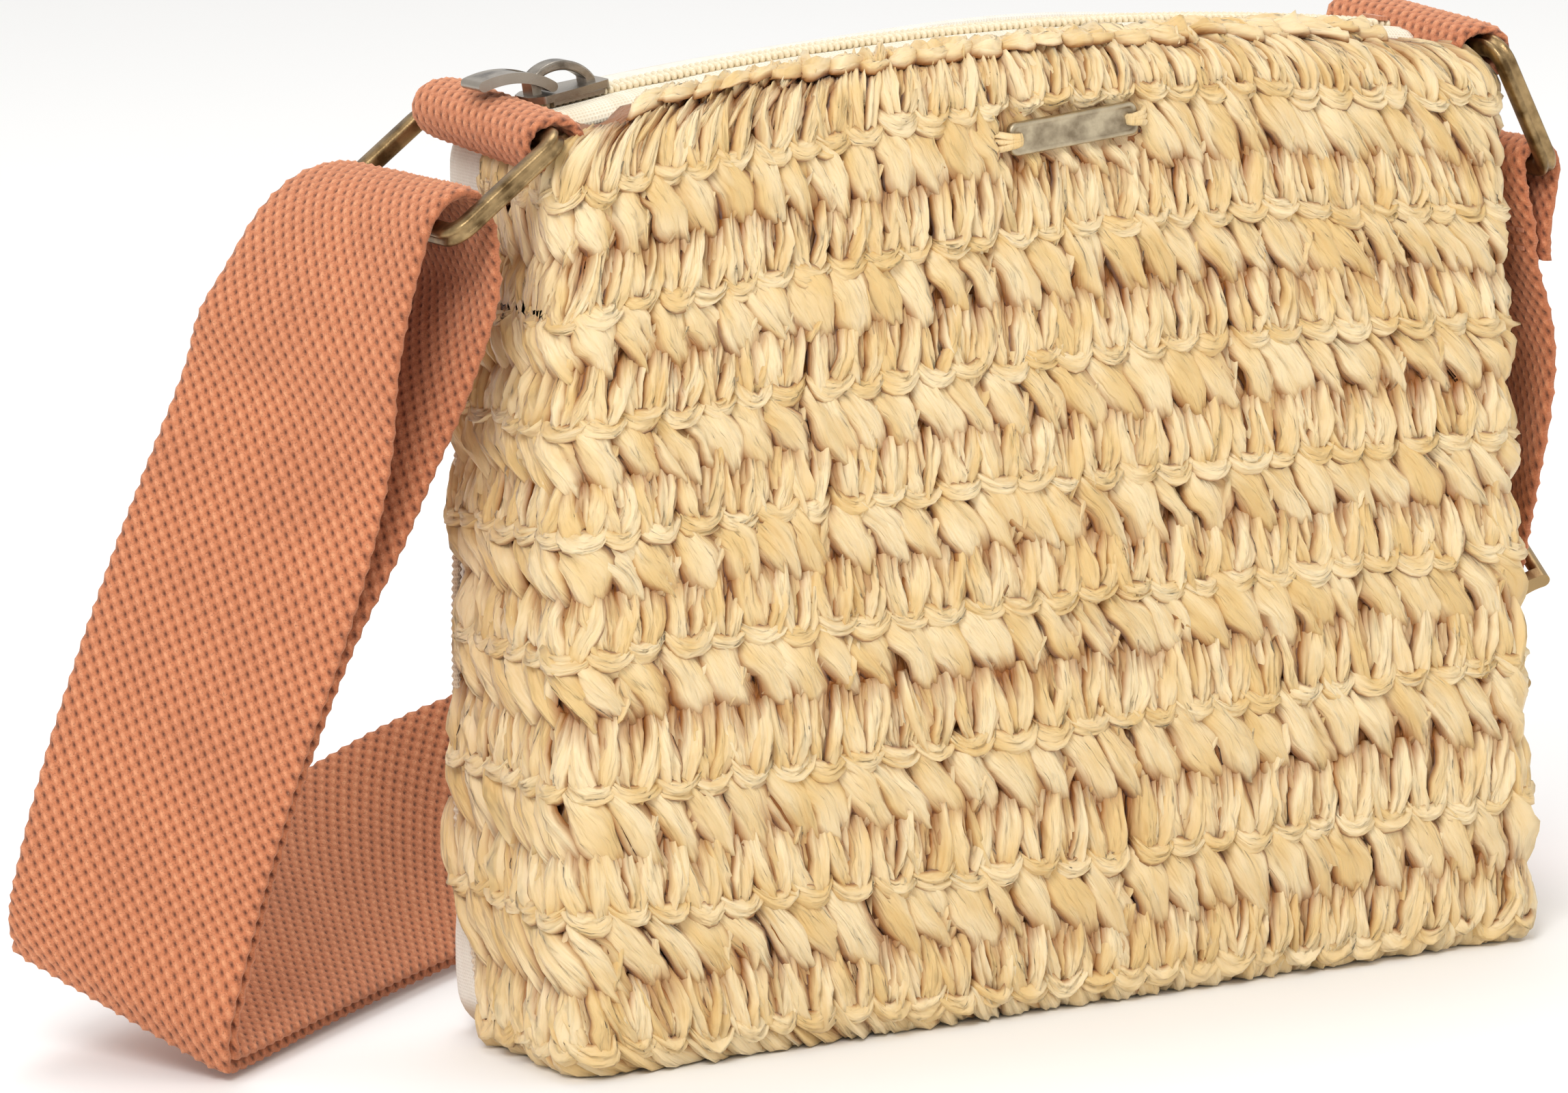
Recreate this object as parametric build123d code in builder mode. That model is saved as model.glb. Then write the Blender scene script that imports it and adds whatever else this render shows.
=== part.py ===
from build123d import *
from math import asin, cos, sin, sqrt, radians, degrees
import os

# Boxy crossbody purse: crocheted front, canvas back, top zip, webbing strap on two rings.
# Frame: X to the right, Y away from the front face, Z up, origin at the middle of the base. Millimetres.

# bag body
bag_width = 203.0            # across the base
top_width = 195.0            # across the shoulders
bag_depth = 57.0
top_height = 182.0           # middle of the arched top
top_arch_radius = 620.0
base_corner = 13.0
top_corner = 14.5
front_edge_round = 9.0
back_edge_round = 8.0
crochet_thick = 6.0
canvas_thick = 2.0
shoulder_thick = 2.3         # of the canvas beside the zip
lining_gap = 0.4
lining_thick = 0.8
lining_top = 166.0
lining_round = 5.5
seam_front = 17.5            # welt between crochet and canvas lies from here
seam_back = 19.5             # to here
welt_stand = 0.8
welt_deep = 2.2

# zip
zip_slot_half = 11.0         # half the width of the opening for the zip
zip_end_x = 91.0
tape_thick = 0.8
coil_outer = 3.3
coil_inner = 0.9             # the slider's post runs in the groove between the coils
coil_thick = 2.4
slider_start_x = -84.0
slider_half = 8.2
slider_inner = 1.55          # inside faces of the slider's plates, from the middle of the chain
slider_plate = 1.4
slider_lip_gap = 0.75
slider_mouth_half = 5.4      # half the slider's width where the two chains part
slider_exit_half = 3.6
slider_shoulder_half = 4.9
slider_nose = 2.2
slider_nose_half = 3.0
slider_lip_thick = 0.7
slider_lip_length = 10.5
slider_edge_round = 0.9
crown_width = 4.2
crown_height = 5.2
crown_left = -6.8
crown_right = 6.0
crown_wire = 1.8
crown_rise = 2.9
crown_round = 0.35
pull_width = 8.0
pull_thick = 2.0
pull_window = 5.6
pull_window_width = 5.2
pull_length = 13.5
pull_pin_x = -3.4            # from the middle of the slider, along the zip
pull_pin_z = 4.15             # and above the chain

# webbing, rings
webbing_width = 50.0
webbing_thick = 2.6
tab_x = 98.7
tab_z = 173.3
tab_length = 49.0
tab_outer = 5.6
tab_bore = 3.0
tab_tail_x = 93.5             # middle of the sewn tail that enters the shell
tab_tail_length = 11.0
tab_tail_drop = 4.2
ring_wire = 4.4
ring_inner_width = 52.0
ring_reach = 26.0            # between the centres of a ring's two long bars
ring_left_drop = 36.0        # degrees below level
ring_right_drop = 66.0
strap_gap_top = 126.0        # lower end of the webbing that swings with the right ring
stitch_length = 2.4
stitch_pitch = 3.6
stitch_count = 13
stitch_thick = 0.4

# name plate
plate_length = 27.0
plate_height = 6.2
plate_thick = 1.2
plate_x = 4.9
plate_z = 166.5
plate_tilt = 4.3

# adjuster
adjuster_bar = 2.8
adjuster_half_height = 12.0
adjuster_rise = 3.1          # end bars stand off the outer side of the strap by this
adjuster_sink = 5.9          # the middle bar lies inside it by this
tail_bar_radius = 1.55
tail_length = 20.0

front_y = -bag_depth / 2
back_y = bag_depth / 2
arch_centre_z = top_height - top_arch_radius
os.makedirs("parts", exist_ok=True)


def arch_z(x, radius=top_arch_radius):
    return arch_centre_z + sqrt(radius**2 - x**2)


def upright(y):
    # a plane across the bag at depth y, drawn in X and Z, whose extrusion goes towards the back
    return Plane(origin=(0, y, 0), x_dir=(-1, 0, 0), z_dir=(0, 1, 0))


def front_outline(inset=0.0):
    # outline of the bag seen from the front, flat on the base
    half_base = bag_width / 2
    half_top = top_width / 2
    shoulder = arch_z(half_top)
    with BuildSketch() as outline:
        with BuildLine():
            Line((-half_base, 0), (half_base, 0))
            Line((half_base, 0), (half_top, shoulder))
            ThreePointArc((half_top, shoulder), (0, top_height), (-half_top, shoulder))
            Line((-half_top, shoulder), (-half_base, 0))
        make_face()
        fillet(outline.vertices().group_by(Axis.Y)[0], base_corner)
        shoulders = outline.vertices().group_by(Axis.Y)[-1]
        fillet(shoulders, top_corner)
        if inset:
            offset(amount=-inset, mode=Mode.REPLACE)
    return outline.sketch


def cavity(low_y, high_y, inset, rounded_face, rounding):
    # the hollow of a shell, with the edges of its front (0) or back (-1) face rounded
    with BuildPart() as hollow:
        with BuildSketch(upright(low_y)):
            add(front_outline(inset))
        extrude(amount=high_y - low_y)
        fillet(hollow.faces().sort_by(Axis.Y)[rounded_face].edges(), rounding)
    return hollow.part


def zip_slot(half_length, sink, floor):
    # area under the arched top between the ends of the zip, sink below the arch
    with BuildSketch() as slot:
        with BuildLine():
            Line((-half_length, floor), (half_length, floor))
            Line((half_length, floor), (half_length, arch_z(half_length) - sink))
            ThreePointArc((half_length, arch_z(half_length) - sink), (0, top_height - sink),
                          (-half_length, arch_z(half_length) - sink))
            Line((-half_length, arch_z(half_length) - sink), (-half_length, floor))
        make_face()
    return slot.sketch


def save(piece, name):
    piece.part.label = name
    export_step(piece.part, f"parts/{name}.step")


# ---- shell ----
with BuildPart() as crochet_front_panel:
    with BuildSketch(upright(front_y)):
        add(front_outline())
    extrude(amount=seam_front - front_y)
    fillet(faces().sort_by(Axis.Y)[0].edges(), front_edge_round)
    add(cavity(front_y + crochet_thick, back_y, crochet_thick, 0, front_edge_round - crochet_thick),
        mode=Mode.SUBTRACT)
    with BuildSketch(Plane.XY.offset(top_height - 12)):
        with Locations((0, seam_front / 2)):
            Rectangle(2 * zip_end_x, seam_front + 2 * zip_slot_half)
    extrude(amount=20, mode=Mode.SUBTRACT)
    with BuildSketch(Plane.XY.offset(tab_z - tab_tail_drop - webbing_thick)):
        with Locations((-tab_tail_x, 0), (tab_tail_x, 0)):
            Rectangle(tab_tail_length, tab_length + 1)
    extrude(amount=20, mode=Mode.SUBTRACT)
save(crochet_front_panel, "crochet_front_panel")

with BuildPart() as canvas_back_panel:
    with BuildSketch(upright(seam_back)):
        add(front_outline())
    extrude(amount=back_y - seam_back)
    fillet(faces().sort_by(Axis.Y)[-1].edges(), back_edge_round)
    add(cavity(0, back_y - canvas_thick, canvas_thick, -1, back_edge_round - canvas_thick),
        mode=Mode.SUBTRACT)
    with BuildSketch(upright(zip_slot_half)):
        add(zip_slot(zip_end_x, 0, top_height - 14))
    extrude(amount=seam_back + 1 - zip_slot_half)
    with BuildSketch(upright(zip_slot_half - 1)):
        add(zip_slot(zip_end_x + 1, shoulder_thick, top_height - 40))
    extrude(amount=seam_back + 2.5 - zip_slot_half, mode=Mode.SUBTRACT)
    with BuildSketch(Plane.XY.offset(tab_z - tab_tail_drop - webbing_thick)):
        with Locations((-tab_tail_x, 0), (tab_tail_x, 0)):
            Rectangle(tab_tail_length, tab_length + 1)
    extrude(amount=20, mode=Mode.SUBTRACT)
save(canvas_back_panel, "canvas_back_panel")

with BuildPart() as seam_welt:
    with BuildSketch(upright(seam_front)):
        add(front_outline(-welt_stand))
        add(front_outline(welt_deep), mode=Mode.SUBTRACT)
    extrude(amount=seam_back - seam_front)
    with BuildSketch(Plane.XY.offset(tab_z - tab_outer - 2)):
        Rectangle(2 * bag_width, 2 * bag_depth)
    extrude(amount=40, mode=Mode.SUBTRACT)
    with BuildSketch(Plane.XY.offset(-5)):
        Rectangle(2 * bag_width, 2 * bag_depth)
    extrude(amount=5, mode=Mode.SUBTRACT)
save(seam_welt, "seam_welt")

with BuildPart() as lining:
    lining_front = front_y + crochet_thick + lining_gap
    lining_back = back_y - canvas_thick - lining_gap
    lining_inset = crochet_thick + lining_gap
    add(cavity(lining_front, lining_back, lining_inset, -1, lining_round))
    fillet(faces().sort_by(Axis.Y)[0].edges(), lining_round)
    with BuildPart(mode=Mode.PRIVATE) as lining_hollow:
        add(cavity(lining_front + lining_thick, lining_back - lining_thick, lining_inset + lining_thick,
                   -1, lining_round - lining_thick))
        fillet(lining_hollow.faces().sort_by(Axis.Y)[0].edges(), lining_round - lining_thick)
    add(lining_hollow.part, mode=Mode.SUBTRACT)
    with BuildSketch(Plane.XY.offset(lining_top)):
        Rectangle(2 * bag_width, 2 * bag_depth)
    extrude(amount=60, mode=Mode.SUBTRACT)
save(lining, "lining")


# ---- zip ----
def zip_strip(thickness, width, low_y, half_length, sink=0.0):
    # a strip that follows the arched top, its middle surface sink below the arch
    radius = top_arch_radius - sink
    half_angle = degrees(asin(half_length / radius))
    with BuildPart() as strip:
        with BuildSketch(upright(low_y)):
            with BuildLine():
                CenterArc((0, arch_centre_z), radius + thickness / 2, 90 - half_angle, 2 * half_angle)
                CenterArc((0, arch_centre_z), radius - thickness / 2, 90 - half_angle, 2 * half_angle)
                for turn in (90 - half_angle, 90 + half_angle):
                    ray = (cos(radians(turn)), sin(radians(turn)))
                    inner = radius - thickness / 2
                    outer = radius + thickness / 2
                    Line((ray[0] * inner, arch_centre_z + ray[1] * inner),
                         (ray[0] * outer, arch_centre_z + ray[1] * outer))
            make_face()
        extrude(amount=width)
    return strip


tape_width = zip_slot_half - coil_outer
zip_tape_front = zip_strip(tape_thick, tape_width, -zip_slot_half, zip_end_x)
save(zip_tape_front, "zip_tape_front")
zip_tape_back = zip_strip(tape_thick, tape_width, coil_outer, zip_end_x)
save(zip_tape_back, "zip_tape_back")
coil_width = coil_outer - coil_inner
zip_coil_front = zip_strip(coil_thick, coil_width, -coil_outer, zip_end_x)
save(zip_coil_front, "zip_coil_front")
zip_coil_back = zip_strip(coil_thick, coil_width, coil_inner, zip_end_x)
save(zip_coil_back, "zip_coil_back")

# slider, drawn in a plane that leans with the arch where the slider rests
slider_lean = degrees(asin(slider_start_x / top_arch_radius))
slider_centre = (slider_start_x, 0, arch_z(slider_start_x))
slider_along = (cos(radians(slider_lean)), 0, -sin(radians(slider_lean)))
slider_up = (sin(radians(slider_lean)), 0, cos(radians(slider_lean)))


def slider_level(height):
    # plane parallel to the zip at the slider, X along the zip, Y towards the back
    origin = tuple(c + height * u for c, u in zip(slider_centre, slider_up))
    return Plane(origin=origin, x_dir=slider_along, z_dir=slider_up)


def slider_side(y):
    # plane along the zip seen from the front, X along the zip, Y up
    origin = (slider_centre[0], y, slider_centre[2])
    return Plane(origin=origin, x_dir=slider_along, z_dir=(0, -1, 0))


with BuildPart() as zip_slider_body:
    for height, lip in ((slider_inner, -1), (-slider_inner - slider_plate, 1)):
        with BuildSketch(slider_level(height)):
            with BuildLine():
                Polyline((slider_half, slider_exit_half), (slider_half, -slider_exit_half),
                         (1.0, -slider_shoulder_half), (slider_nose - slider_half, -slider_mouth_half),
                         (-slider_half, -slider_nose_half), (-slider_half, slider_nose_half),
                         (slider_nose - slider_half, slider_mouth_half), (1.0, slider_shoulder_half),
                         close=True)
            make_face()
        extrude(amount=slider_plate)
    fillet(edges().filter_by(GeomType.LINE).filter_by(lambda e: e.length < 1.5), slider_edge_round)
    for side in (-1, 1):
        for height in (slider_lip_gap, -slider_inner):
            with BuildSketch(slider_level(height)):
                with Locations((1.2, side * (slider_shoulder_half - slider_lip_thick + 0.05))):
                    Rectangle(slider_lip_length, slider_lip_thick)
            extrude(amount=slider_inner - slider_lip_gap)
    with BuildSketch(slider_level(-slider_inner)):
        with Locations((-slider_half + 2.6, 0)):
            SlotOverall(3.6, 1.2)
    extrude(amount=2 * slider_inner)
save(zip_slider_body, "zip_slider_body")

with BuildPart() as zip_slider_crown:
    foot = slider_inner + slider_plate
    inner_left = crown_left + crown_wire
    inner_right = crown_right - crown_wire
    crown_middle = (crown_left + crown_right) / 2
    with BuildSketch(slider_side(crown_width / 2)):
        with BuildLine():
            Line((crown_left, foot), (crown_left, foot + crown_rise))
            ThreePointArc((crown_left, foot + crown_rise), (crown_middle, foot + crown_height),
                          (crown_right, foot + 1.0))
            Line((crown_right, foot + 1.0), (crown_right, foot))
            Line((crown_right, foot), (inner_right, foot))
            Line((inner_right, foot), (inner_right, foot + 0.8))
            ThreePointArc((inner_right, foot + 0.8), (crown_middle, foot + crown_height - crown_wire),
                          (inner_left, foot + crown_rise - 0.3))
            Line((inner_left, foot + crown_rise - 0.3), (inner_left, foot))
            Line((inner_left, foot), (crown_left, foot))
        make_face()
    extrude(amount=crown_width)
    fillet(edges().filter_by(GeomType.CIRCLE), crown_round)
save(zip_slider_crown, "zip_slider_crown")

with BuildPart() as zip_pull:
    with BuildSketch(slider_side(pull_width / 2)):
        with BuildLine():
            Spline((pull_pin_x, pull_pin_z), (pull_pin_x - 4, pull_pin_z + 2.4),
                   (pull_pin_x - 8, pull_pin_z + 3.3), (pull_pin_x - pull_length, pull_pin_z + 3.0))
        trace(line_width=pull_thick)
        for end in ((pull_pin_x, pull_pin_z), (pull_pin_x - pull_length, pull_pin_z + 3.0)):
            with Locations(end):
                Circle(pull_thick / 2)
    extrude(amount=pull_width)
    with BuildSketch(slider_level(-2)):
        with Locations((pull_pin_x - pull_window / 2 - 0.4, 0)):
            Rectangle(pull_window, pull_window_width)
    extrude(amount=30, mode=Mode.SUBTRACT)
save(zip_pull, "zip_pull")


# ---- tabs and rings ----
def tab(side):
    with BuildPart() as piece:
        with BuildSketch(upright(-tab_length / 2)):
            with Locations((-side * tab_x, tab_z)):
                Circle(tab_outer)
            with Locations((-side * (tab_tail_x + 0.8), tab_z - tab_tail_drop)):
                Rectangle(7.5, 2 * webbing_thick)
            with Locations((-side * tab_x, tab_z)):
                Circle(tab_bore, mode=Mode.SUBTRACT)
        extrude(amount=tab_length)
    return piece


tab_left = tab(-1)
save(tab_left, "tab_left")
tab_right = tab(1)
save(tab_right, "tab_right")


def ring_far_bar(side, drop):
    # middle of the ring's outer bar, which hangs drop degrees below level
    return (side * (tab_x + ring_reach * cos(radians(drop))), tab_z - ring_reach * sin(radians(drop)))


def ring(side, drop):
    # rectangular ring with rounded corners, in a plane through the bar in the tab
    far_x, far_z = ring_far_bar(side, drop)
    outward = ((far_x - side * tab_x) / ring_reach, 0, (far_z - tab_z) / ring_reach)
    middle = ((far_x + side * tab_x) / 2, 0, (far_z + tab_z) / 2)
    normal = (-outward[2], 0, outward[0])
    flat = Plane(origin=middle, x_dir=outward, z_dir=normal)
    with BuildPart() as piece:
        with BuildSketch(flat.offset(-ring_wire / 2)):
            RectangleRounded(ring_reach + ring_wire, ring_inner_width + 2 * ring_wire, 4.6)
            RectangleRounded(ring_reach - ring_wire, ring_inner_width, 1.4, mode=Mode.SUBTRACT)
        extrude(amount=ring_wire)
        fillet(edges().filter_by(
            lambda e: abs(abs(flat.to_local_coords(e.center()).Z) - ring_wire / 2) < 0.01),
               1.6)
    return piece


ring_left = ring(-1, ring_left_drop)
save(ring_left, "ring_left")
ring_right = ring(1, ring_right_drop)
save(ring_right, "ring_right")


# ---- strap ----
# stations of the strap from the left ring round the back to the right ring:
# its near (or lower) edge, its far (or upper) edge, and the space between its two layers
fold_rise = 1.6
strap_route = [
    ((-129, -17, 118), (-150.5, 27, 130), 15.0),
    ((-132, -13.6, 101), (-157.8, 27.1, 114.7), 10.5),
    ((-137.2, -8.8, 81), (-164.6, 29.2, 98.5), 4.0),
    ((-143.6, -2.6, 59), (-171.3, 35.1, 77), 2.8),
    ((-148.6, 2.1, 40), (-177.6, 40, 55), 2.8),
    ((-152.3, 5.6, 24), (-181.5, 44.4, 37), 2.8),
    ((-154.9, 8, 11), (-182.5, 46.5, 29.5), 2.8),
    ((-154.6, 10, 4), (-181.5, 47.6, 24.5), 2.8),
    ((-150.5, 14.5, fold_rise), (-177, 52, 22.5), 2.8),
    ((-118, 42, fold_rise), (-144, 76, 28), 2.8),
    ((-81, 71, fold_rise), (-106, 102, 32), 2.8),
    ((-43, 97, fold_rise), (-60.5, 120, 42.3), 2.8),
    ((0, 112, fold_rise), (-4, 127, 49), 2.8),
    ((40, 112, fold_rise), (45, 123, 50), 2.8),
    ((76, 98, 2), (88, 110.5, 49), 2.8),
    ((103, 72, 5.5), (120, 93, 47.5), 2.8),
    ((116.2, 45, 12), (130.5, 78, 46), 2.8),
    ((117.4, 25, 21), (129.2, 64, 48), 2.8),
]
run_across = Vector(0.17, 0.9, 0.4).normalized()
run_along = Vector(-0.06, -0.47, 0.88)
run_along = (run_along - run_across * run_along.dot(run_across)).normalized()
run_middle = Vector(118.7, 20.2, 67)       # where the adjuster sits on a straight run of the strap
run_start = -30.0
run_end = 30.0


def run_point(along, across=0.0):
    return run_middle + run_along * along + run_across * across


def station_planes(route):
    # one plane for each station: X across the strap, Z along it, Y towards the bag
    planes = []
    middles = [(Vector(near) + Vector(far)) / 2 for near, far, space in route]
    for index, (near, far, space) in enumerate(route):
        across = (Vector(far) - Vector(near)).normalized()
        before = middles[max(index - 1, 0)]
        after = middles[min(index + 1, len(route) - 1)]
        along = after - before
        along = (along - across * along.dot(across)).normalized()
        planes.append(Plane(origin=middles[index], x_dir=across, z_dir=along))
    return planes


def strap_layer(planes, spaces):
    # a ruled strip of webbing through the planes, each section moved towards the bag by its space
    with BuildPart() as strip:
        for plane, space in zip(planes, spaces):
            with BuildSketch(plane):
                with Locations((0, space)):
                    Rectangle(webbing_width, webbing_thick)
        loft(ruled=True)
    return strip


half_width = webbing_width / 2
run_stations = [(run_point(s, -half_width), run_point(s, half_width), 2.8) for s in (run_start, run_end)]
upper_stations = [((112.2, -22.5, 105.5), (117.3, 26.5, 112.5), 0),
                  ((111, -25, 118), (111.5, 25, 118.5), 0)]
full_route = strap_route + run_stations + upper_stations
full_planes = station_planes(full_route)
full_spaces = [space for near, far, space in full_route]
fold_station = 7
run_first = len(strap_route)

strap_left_outer = strap_layer(full_planes[:fold_station], [0.0] * fold_station)
save(strap_left_outer, "strap_left_outer")
strap_left_inner = strap_layer(full_planes[:fold_station], full_spaces[:fold_station])
save(strap_left_inner, "strap_left_inner")
rear_planes = full_planes[fold_station - 1:run_first + 1]
strap_rear_outer = strap_layer(rear_planes, [0.0] * len(rear_planes))
save(strap_rear_outer, "strap_rear_outer")
strap_rear_inner = strap_layer(rear_planes, full_spaces[fold_station - 1:run_first + 1])
save(strap_rear_inner, "strap_rear_inner")
right_planes = full_planes[run_first:]
strap_right_run = strap_layer(right_planes, [0.0] * len(right_planes))
save(strap_right_run, "strap_right_run")

# the strap's turn round the outer bar of the left ring, wide and loose
turn_middle_x = -117.5
turn_shoulder_z = 158.0
turn_top_z = 166.8
turn_half = 8.5
turn_foot_half = 9.6
turn_foot_z = 139.5


def turn_outline(inset, foot_z):
    # inverted U, its legs spreading a little towards their ends
    with BuildSketch() as outline:
        with BuildLine():
            Line((turn_middle_x - turn_foot_half + inset, foot_z),
                 (turn_middle_x - turn_half + inset, turn_shoulder_z))
            ThreePointArc((turn_middle_x - turn_half + inset, turn_shoulder_z),
                          (turn_middle_x, turn_top_z - inset),
                          (turn_middle_x + turn_half - inset, turn_shoulder_z))
            Line((turn_middle_x + turn_half - inset, turn_shoulder_z),
                 (turn_middle_x + turn_foot_half - inset, foot_z))
            Line((turn_middle_x + turn_foot_half - inset, foot_z),
                 (turn_middle_x - turn_foot_half + inset, foot_z))
        make_face()
    return outline.sketch


with BuildPart() as strap_left_loop:
    with BuildSketch(Plane.XZ.offset(-webbing_width / 2 + 0.5)):
        add(turn_outline(0.0, turn_foot_z))
        add(turn_outline(webbing_thick, turn_foot_z - 3), mode=Mode.SUBTRACT)
    extrude(amount=webbing_width - 1)
save(strap_left_loop, "strap_left_loop")

# the other end is folded round the right ring's bar and sewn to itself
bar_right_x, bar_right_z = ring_far_bar(1, ring_right_drop)
fold_bottom_z = 131.0
with BuildPart() as strap_right_loop:
    with BuildSketch(upright(-webbing_width / 2 + 0.5)):
        with Locations((-bar_right_x, bar_right_z)):
            Circle(ring_wire / 2 + 0.3 + webbing_thick)
        with Locations((-bar_right_x, (bar_right_z + fold_bottom_z) / 2)):
            Rectangle(2 * webbing_thick, bar_right_z - fold_bottom_z)
        with Locations((-bar_right_x + webbing_thick / 2, (fold_bottom_z + strap_gap_top) / 2)):
            Rectangle(webbing_thick, fold_bottom_z - strap_gap_top)
        with Locations((-bar_right_x, bar_right_z)):
            Circle(ring_wire / 2 + 0.3, mode=Mode.SUBTRACT)
    extrude(amount=webbing_width - 1)
save(strap_right_loop, "strap_right_loop")

with BuildPart() as strap_right_stitch:
    for face_x in (bar_right_x - webbing_thick - stitch_thick, bar_right_x + webbing_thick):
        with BuildSketch(Plane.YZ.offset(face_x)):
            for row_z in (fold_bottom_z + 2.5, fold_bottom_z + 6.0):
                with Locations((0, row_z)):
                    with GridLocations(stitch_pitch, 1, stitch_count, 1):
                        Rectangle(stitch_length, 0.8)
        extrude(amount=stitch_thick)
save(strap_right_stitch, "strap_right_stitch")


# ---- adjuster ----
def run_plane(across=0.0):
    # plane seen along the strap's width: X along the strap, Y towards the outer side
    return Plane(origin=run_point(0, across), x_dir=run_along, z_dir=run_across)


adjuster_side = webbing_width / 2 + 1.3
with BuildPart() as adjuster_frame:
    for side in (-1, 1):
        rail_start = adjuster_side if side > 0 else -adjuster_side - adjuster_bar
        with BuildSketch(run_plane(rail_start)):
            with BuildLine():
                ThreePointArc((-adjuster_half_height, adjuster_rise), (0, -adjuster_sink),
                              (adjuster_half_height, adjuster_rise))
            trace(line_width=adjuster_bar)
            for end in (-adjuster_half_height, adjuster_half_height):
                with Locations((end, adjuster_rise)):
                    Circle(adjuster_bar / 2)
        extrude(amount=adjuster_bar)
    with BuildSketch(run_plane(-adjuster_side - adjuster_bar)):
        for end in (-adjuster_half_height, adjuster_half_height):
            with Locations((end, adjuster_rise)):
                Circle(adjuster_bar / 2)
    extrude(amount=2 * (adjuster_side + adjuster_bar))
save(adjuster_frame, "adjuster_frame")

with BuildPart() as adjuster_middle_bar:
    with BuildSketch(run_plane(-adjuster_side)):
        with Locations((0, -adjuster_sink)):
            Circle(tail_bar_radius)
    extrude(amount=2 * adjuster_side)
save(adjuster_middle_bar, "adjuster_middle_bar")

with BuildPart() as strap_tail_loop:
    tail_radius = tail_bar_radius + 0.1 + webbing_thick
    with BuildSketch(run_plane(-webbing_width / 2 + 0.5)):
        with Locations((0, -adjuster_sink)):
            Circle(tail_radius)
        with Locations((-tail_length / 2, -adjuster_sink + tail_radius - webbing_thick / 2)):
            Rectangle(tail_length, webbing_thick)
        with Locations((-tail_length / 2, -adjuster_sink + tail_radius - 1.5 * webbing_thick)):
            Rectangle(tail_length, webbing_thick)
        with Locations((0, -adjuster_sink)):
            Circle(tail_bar_radius + 0.1, mode=Mode.SUBTRACT)
    extrude(amount=webbing_width - 1)
save(strap_tail_loop, "strap_tail_loop")

# ---- name plate, left blank ----
with BuildPart() as name_plate:
    with BuildSketch(Plane(origin=(plate_x, front_y, plate_z), x_dir=(cos(radians(plate_tilt)), 0,
                           sin(radians(plate_tilt))), z_dir=(0, -1, 0))):
        RectangleRounded(plate_length, plate_height, 1.6)
        with Locations((-plate_length / 2 + 2.6, 0), (plate_length / 2 - 2.6, 0)):
            SlotOverall(3.6, 1.3, rotation=90, mode=Mode.SUBTRACT)
    extrude(amount=plate_thick)
save(name_plate, "name_plate")


def plate_thread(side):
    # raffia lashing from the slot over the end of the plate
    tilt = (cos(radians(plate_tilt)), 0, sin(radians(plate_tilt)))
    reach = side * (plate_length / 2 - 0.7)
    middle = (plate_x + reach * tilt[0], front_y, plate_z + reach * tilt[2])
    with BuildPart() as piece:
        with BuildSketch(Plane(origin=middle, x_dir=tilt, z_dir=(0, -1, 0))):
            RectangleRounded(4.6, 2.4, 0.5)
        extrude(amount=plate_thick + 0.9)
        with BuildSketch(Plane(origin=middle, x_dir=tilt, z_dir=(0, -1, 0))):
            with Locations((-side * 0.58, 0)):
                Rectangle(2.7, 2.6)
        extrude(amount=plate_thick + 0.05, mode=Mode.SUBTRACT)
    return piece


plate_thread_left = plate_thread(-1)
save(plate_thread_left, "plate_thread_left")
plate_thread_right = plate_thread(1)
save(plate_thread_right, "plate_thread_right")


# ---- thread tacks across the ends of the zip ----
def zip_end_tack(side):
    with BuildPart() as piece:
        with BuildSketch(upright(-coil_outer)):
            with Locations((-side * 88.2, arch_z(88.2) + coil_thick / 2 + 0.6)):
                Rectangle(2.0, 0.8, rotation=side * 8)
        extrude(amount=2 * coil_outer)
    return piece


zip_end_tack_right = zip_end_tack(1)
save(zip_end_tack_right, "zip_end_tack_right")
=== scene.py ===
import math
import bpy
import numpy as np
from mathutils import Matrix, Vector


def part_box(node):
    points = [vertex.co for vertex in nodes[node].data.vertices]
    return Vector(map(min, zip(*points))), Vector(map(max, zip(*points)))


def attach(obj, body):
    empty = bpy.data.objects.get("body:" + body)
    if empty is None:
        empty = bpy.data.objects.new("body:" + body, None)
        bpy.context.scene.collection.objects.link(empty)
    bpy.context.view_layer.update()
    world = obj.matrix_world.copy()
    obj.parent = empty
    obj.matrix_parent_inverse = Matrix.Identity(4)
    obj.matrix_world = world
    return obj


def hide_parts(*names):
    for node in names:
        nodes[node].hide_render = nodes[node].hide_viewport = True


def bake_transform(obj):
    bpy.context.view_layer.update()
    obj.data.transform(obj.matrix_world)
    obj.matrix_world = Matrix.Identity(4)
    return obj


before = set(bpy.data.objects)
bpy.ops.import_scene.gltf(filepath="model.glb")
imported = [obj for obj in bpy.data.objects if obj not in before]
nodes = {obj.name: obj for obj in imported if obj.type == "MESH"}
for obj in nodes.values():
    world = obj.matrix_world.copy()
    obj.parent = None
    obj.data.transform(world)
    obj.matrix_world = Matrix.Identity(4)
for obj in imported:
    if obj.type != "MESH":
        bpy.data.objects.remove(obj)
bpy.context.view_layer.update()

# Crossbody purse: crocheted raffia front, canvas back, zipped top, wide webbing strap on two rings.
# Measures are in millimetres and become metres when a mesh is made.
mm = 0.001


# ---- mesh helpers ----
def gridFaces(rows, columns, closed=False):
    row = np.arange(rows - 1)[:, None] * columns
    column = np.arange(columns if closed else columns - 1)[None, :]
    beside = (column + 1) % columns
    corners = [row + column, row + beside, row + columns + beside, row + columns + column]
    return np.stack(corners, -1).reshape(-1, 4)


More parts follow.
